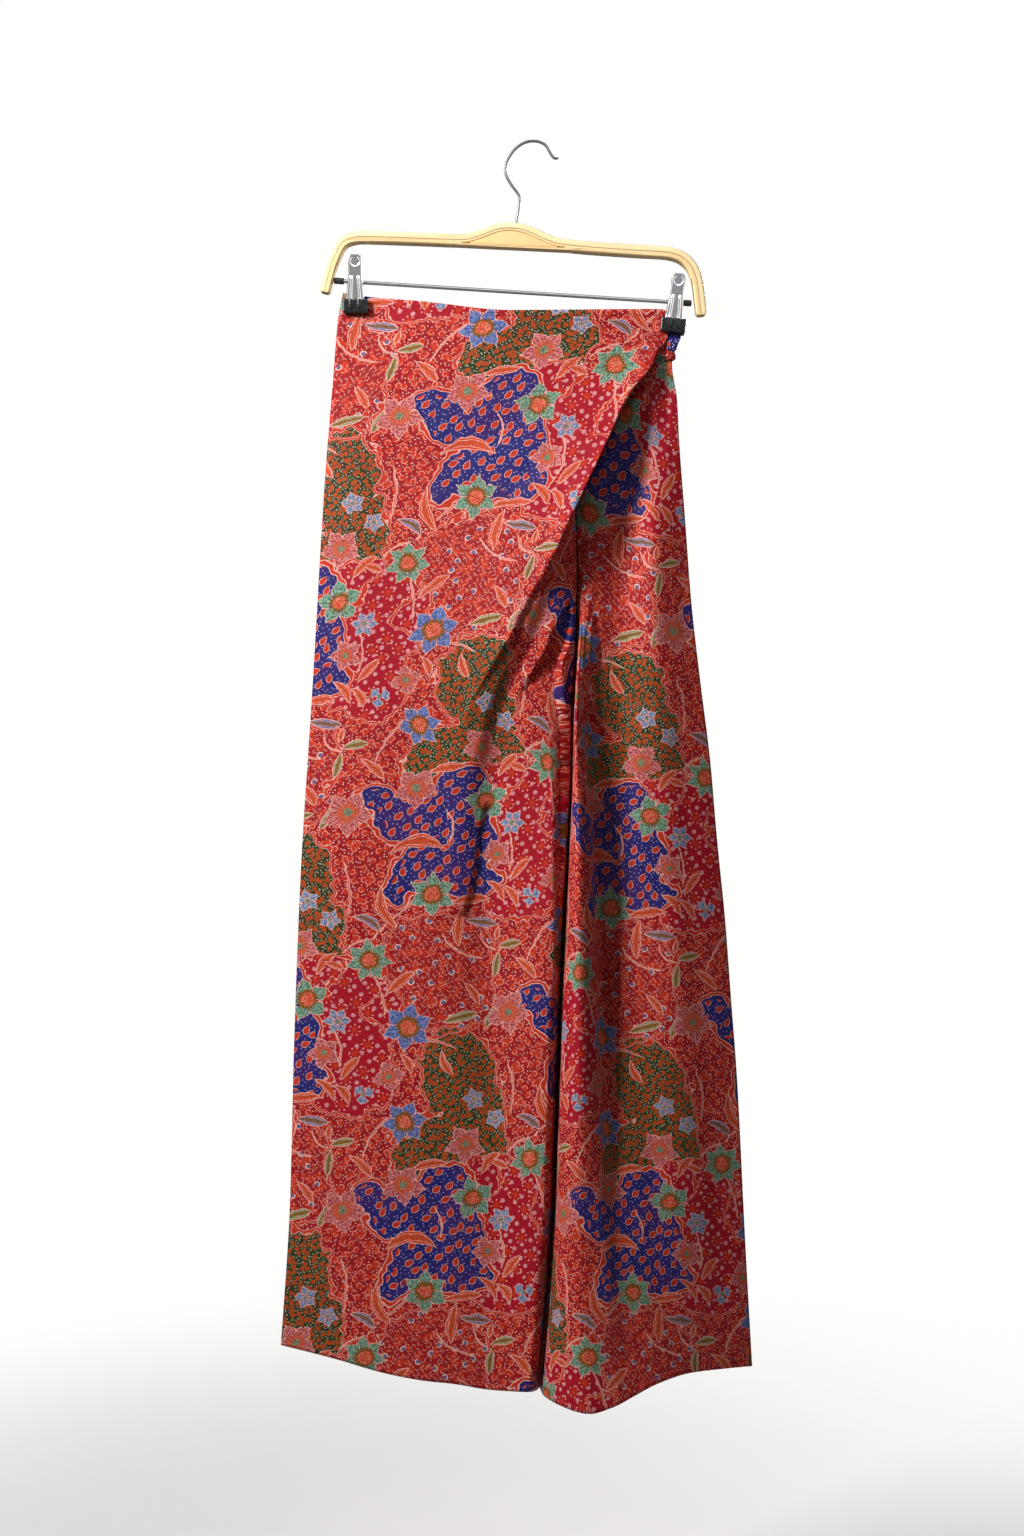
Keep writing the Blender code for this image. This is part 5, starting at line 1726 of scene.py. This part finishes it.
def coil_profile(width):
    """Half sections of the spring's round coils side by side, closed by a straight bore."""
    inner, outer = ROD / 2 + SPRING_PLAY, width / 2
    half = BARREL_WIDTH / COILS / 2
    rounds = [
        (outer - half + math.sin(turn) * half, (2 * coil + 1) * half - math.cos(turn) * half)
        for coil in range(COILS)
        for turn in (math.pi * k / 6 for k in range(7))
    ]
    return [(inner, 0.0), *rounds, (inner, BARREL_WIDTH)]


class PANTS_OT_clips(bpy.types.Operator):
    """Makes both clips: levers, spring barrels and dipped pads"""

    bl_idname = "pants.make_clips"
    bl_label = "Make the clips"

    def execute(self, context):
        shine = context.scene.pants_hanger.shine
        chrome = material_once(plated, "pressed_chrome", (0.80, 0.80, 0.81), shine - 0.04, 0.12)
        spring = material_once(plated, "coiled_spring", (0.50, 0.50, 0.51), 0.34, 0.15)
        rubber = material_once(moulded_black, "dipped_rubber", (0.005, 0.006, 0.007), 0.2, 0.15)
        (left, left_drop), (right, right_drop) = ROD_ENDS
        slope = (right_drop - left_drop) / (right - left)
        run = at_bow(1.0, slope).normalized()
        for name, top, foot, faces, barrel in CLIPS:
            start = at_bow(*top)
            down = (at_bow(*foot) - start).normalized()
            lean = Matrix.Rotation(math.atan2(-down.x, -down.z), 4, "Y")
            local = Matrix.Translation(start * MM) @ lean
            for word, side, face in (("front", -1, faces[0]), ("back", 1, faces[1])):
                pad_face = face + side * GAP
                piece = f"{name}_{word}_pad"
                mesh = pad_mesh(piece, local, side, pad_face)
                ready(add_piece(piece + "_sleeve", mesh, rubber), piece)
                piece = f"{name}_{word}_lever"
                mesh = lever_mesh(piece, local, side, pad_face + side * PAD_THICKNESS / 2)
                lever = add_piece(piece + "_pressing", mesh, chrome, CLIP_SHEET * MM)
                ready(lever, piece)
            across = start.x + down.x * ROD_BELOW_CLIP_TOP
            middle = at_bow(across, left_drop + (across - left) * slope)
            end = (middle - run * BARREL_WIDTH / 2) * MM
            piece = name + "_barrel"
            mesh = turned_mesh(piece, coil_profile(barrel), end, run, closed=True)
            ready(add_piece(name + "_spring", mesh, spring), piece)
        return {"FINISHED"}


# Lights: name, place, aim, size, share of the main light's power, colour, spread in degrees
CLOTH_MIDDLE = (-0.05, 0.0, -0.5)
LIGHTS = (
    ("main_light", (-1.58, -1.18, 0.72), (-0.1, 0.0, -0.35), (0.5, 0.55), 1.0,
     (1.0, 0.98, 0.95), 110),
    ("top_light", (0.0, -0.5, 0.25), (0.0, 0.0, -0.12), (0.6, 0.15), 0.03, (1.0, 1.0, 1.0), 180),
    ("side_light", (1.7, -1.5, -0.2), CLOTH_MIDDLE, (1.1, 1.3), 0.12, (1.0, 0.70, 0.60), 180),
    ("back_light", (1.7, 1.9, 0.6), CLOTH_MIDDLE, (0.9, 0.9), 3.0, (1.0, 1.0, 1.0), 180),
)
FLOOR_RADIUS = 1.6
FLOOR_BACK = 0.3


def soft_light(name, place, aim, size, power, colour, spread):
    lamp = bpy.data.lights.new(name, "AREA")
    lamp.shape = "RECTANGLE"
    lamp.size, lamp.size_y = size
    lamp.energy = power
    lamp.color = colour
    lamp.spread = math.radians(spread)
    obj = bpy.data.objects.new(name, lamp)
    bpy.context.scene.collection.objects.link(obj)
    obj.location = place
    obj.rotation_mode = "QUATERNION"
    obj.rotation_quaternion = (Vector(aim) - Vector(place)).to_track_quat("-Z", "Y")


def pale_studio(s, backdrop):
    """What the camera, the cloth and polished steel each see round the scene."""
    way, away, up = s.parts(s.outputs("TexCoord")["Generated"])
    side = s.step(way, -0.9, 0.5, 1.0, 0.25)
    height = s.step(up, -0.7, 0.6, 0.5, 1.0)
    lit = s.background((1.0, 0.86, 0.78), side * height * s.step(away, 0.25, 0.75, 0.09, 0.3))
    # polished steel sees soft panels at the sides and above, with dark gaps beside them
    aside = abs(way)
    panels = s.larger(s.band(aside, 0.40, 0.93, 0.05), s.band(up, 0.34, 0.9, 0.07))
    gaps = s.band(aside, 0.24, 0.38, 0.04) * s.under(up, 0.3, 0.1)
    level = (panels * 0.75 + 0.34) * s.step(away, 0.1, 0.7, 1.0, 0.22)
    mirrored = s.background((0.97, 0.985, 1.0), level - gaps * 0.28)
    seen = s.background((1.0, 0.998, 0.99), backdrop)
    path = s.outputs("LightPath")
    shone = s.either(path["Is Glossy Ray"], lit, mirrored)
    return s.either(path["Is Camera Ray"], shone, seen)


class PANTS_OT_stage(bpy.types.Operator):
    """Makes the camera, the soft lights, the pale surroundings and the floor"""

    bl_idname = "pants.make_stage"
    bl_label = "Make the stage"

    def execute(self, context):
        stage = context.scene.pants_stage
        lens = bpy.data.cameras.new("front_view")
        lens.sensor_width = SENSOR
        lens.lens = SENSOR * VIEW_DISTANCE / VIEW_HEIGHT
        lens.clip_start = 0.05
        lens.clip_end = 50.0
        camera = bpy.data.objects.new("front_view", lens)
        context.scene.collection.objects.link(camera)
        camera.location = Vector((VIEW_ACROSS, -VIEW_DISTANCE, -VIEW_DROP)) * MM
        camera.rotation_euler = (math.pi / 2, 0.0, 0.0)
        context.scene.camera = camera
        context.scene.view_settings.view_transform = "Standard"
        context.scene.view_settings.look = "None"

        world = bpy.data.worlds.new("pale_studio")
        world.use_nodes = True
        world.node_tree.nodes.clear()
        s = Sketch(world.node_tree)
        s.node("OutputWorld", {"Surface": pale_studio(s, stage.backdrop)})
        context.scene.world = world

        for name, place, aim, size, share, colour, spread in LIGHTS:
            soft_light(name, place, aim, size, stage.key_power * share, colour, spread)

        form = bmesh.new()
        bmesh.ops.create_circle(form, cap_ends=True, segments=96, radius=FLOOR_RADIUS)
        bmesh.ops.translate(form, verts=form.verts, vec=(0.0, FLOOR_BACK, -stage.floor_drop))
        finish = material_once(pale_floor, "pale_floor")
        floor = add_piece("floor", finished(form, "floor"), finish)
        return {"FINISHED"}


class PANTS_PT_panel(bpy.types.Panel):
    """Lists the steps that make the pants, their hanger and the stage"""

    bl_idname = "PANTS_PT_panel"
    bl_label = "Wrap pants"
    bl_space_type = "VIEW_3D"
    bl_region_type = "UI"
    bl_category = "Wrap pants"

    def draw(self, context):
        scene = context.scene
        for settings, steps in (
            (scene.pants_cloth, (PANTS_OT_fronts, PANTS_OT_backs, PANTS_OT_tie)),
            (scene.pants_hanger, (PANTS_OT_bow, PANTS_OT_hook, PANTS_OT_rod, PANTS_OT_clips)),
            (scene.pants_stage, (PANTS_OT_stage,)),
        ):
            box = self.layout.box()
            for name in settings.__annotations__:
                box.prop(settings, name)
            for step in steps:
                box.operator(step.bl_idname)


CLASSES = (
    PANTS_PG_cloth, PANTS_PG_hanger, PANTS_PG_stage, PANTS_OT_fronts, PANTS_OT_backs,
    PANTS_OT_tie, PANTS_OT_bow, PANTS_OT_hook, PANTS_OT_rod, PANTS_OT_clips, PANTS_OT_stage,
    PANTS_PT_panel,
)


def register():
    for made in CLASSES:
        bpy.utils.register_class(made)
    bpy.types.Scene.pants_cloth = bpy.props.PointerProperty(type=PANTS_PG_cloth)
    bpy.types.Scene.pants_hanger = bpy.props.PointerProperty(type=PANTS_PG_hanger)
    bpy.types.Scene.pants_stage = bpy.props.PointerProperty(type=PANTS_PG_stage)


def unregister():
    del bpy.types.Scene.pants_stage
    del bpy.types.Scene.pants_hanger
    del bpy.types.Scene.pants_cloth
    for made in reversed(CLASSES):
        bpy.utils.unregister_class(made)


def main():
    register()
    bpy.ops.pants.make_stage()
    bpy.ops.pants.make_hook()
    bpy.ops.pants.make_bow()
    bpy.ops.pants.make_rod()
    bpy.ops.pants.make_clips()
    bpy.ops.pants.make_tie()
    bpy.ops.pants.make_backs()
    bpy.ops.pants.make_fronts()


if __name__ == "__main__":
    main()
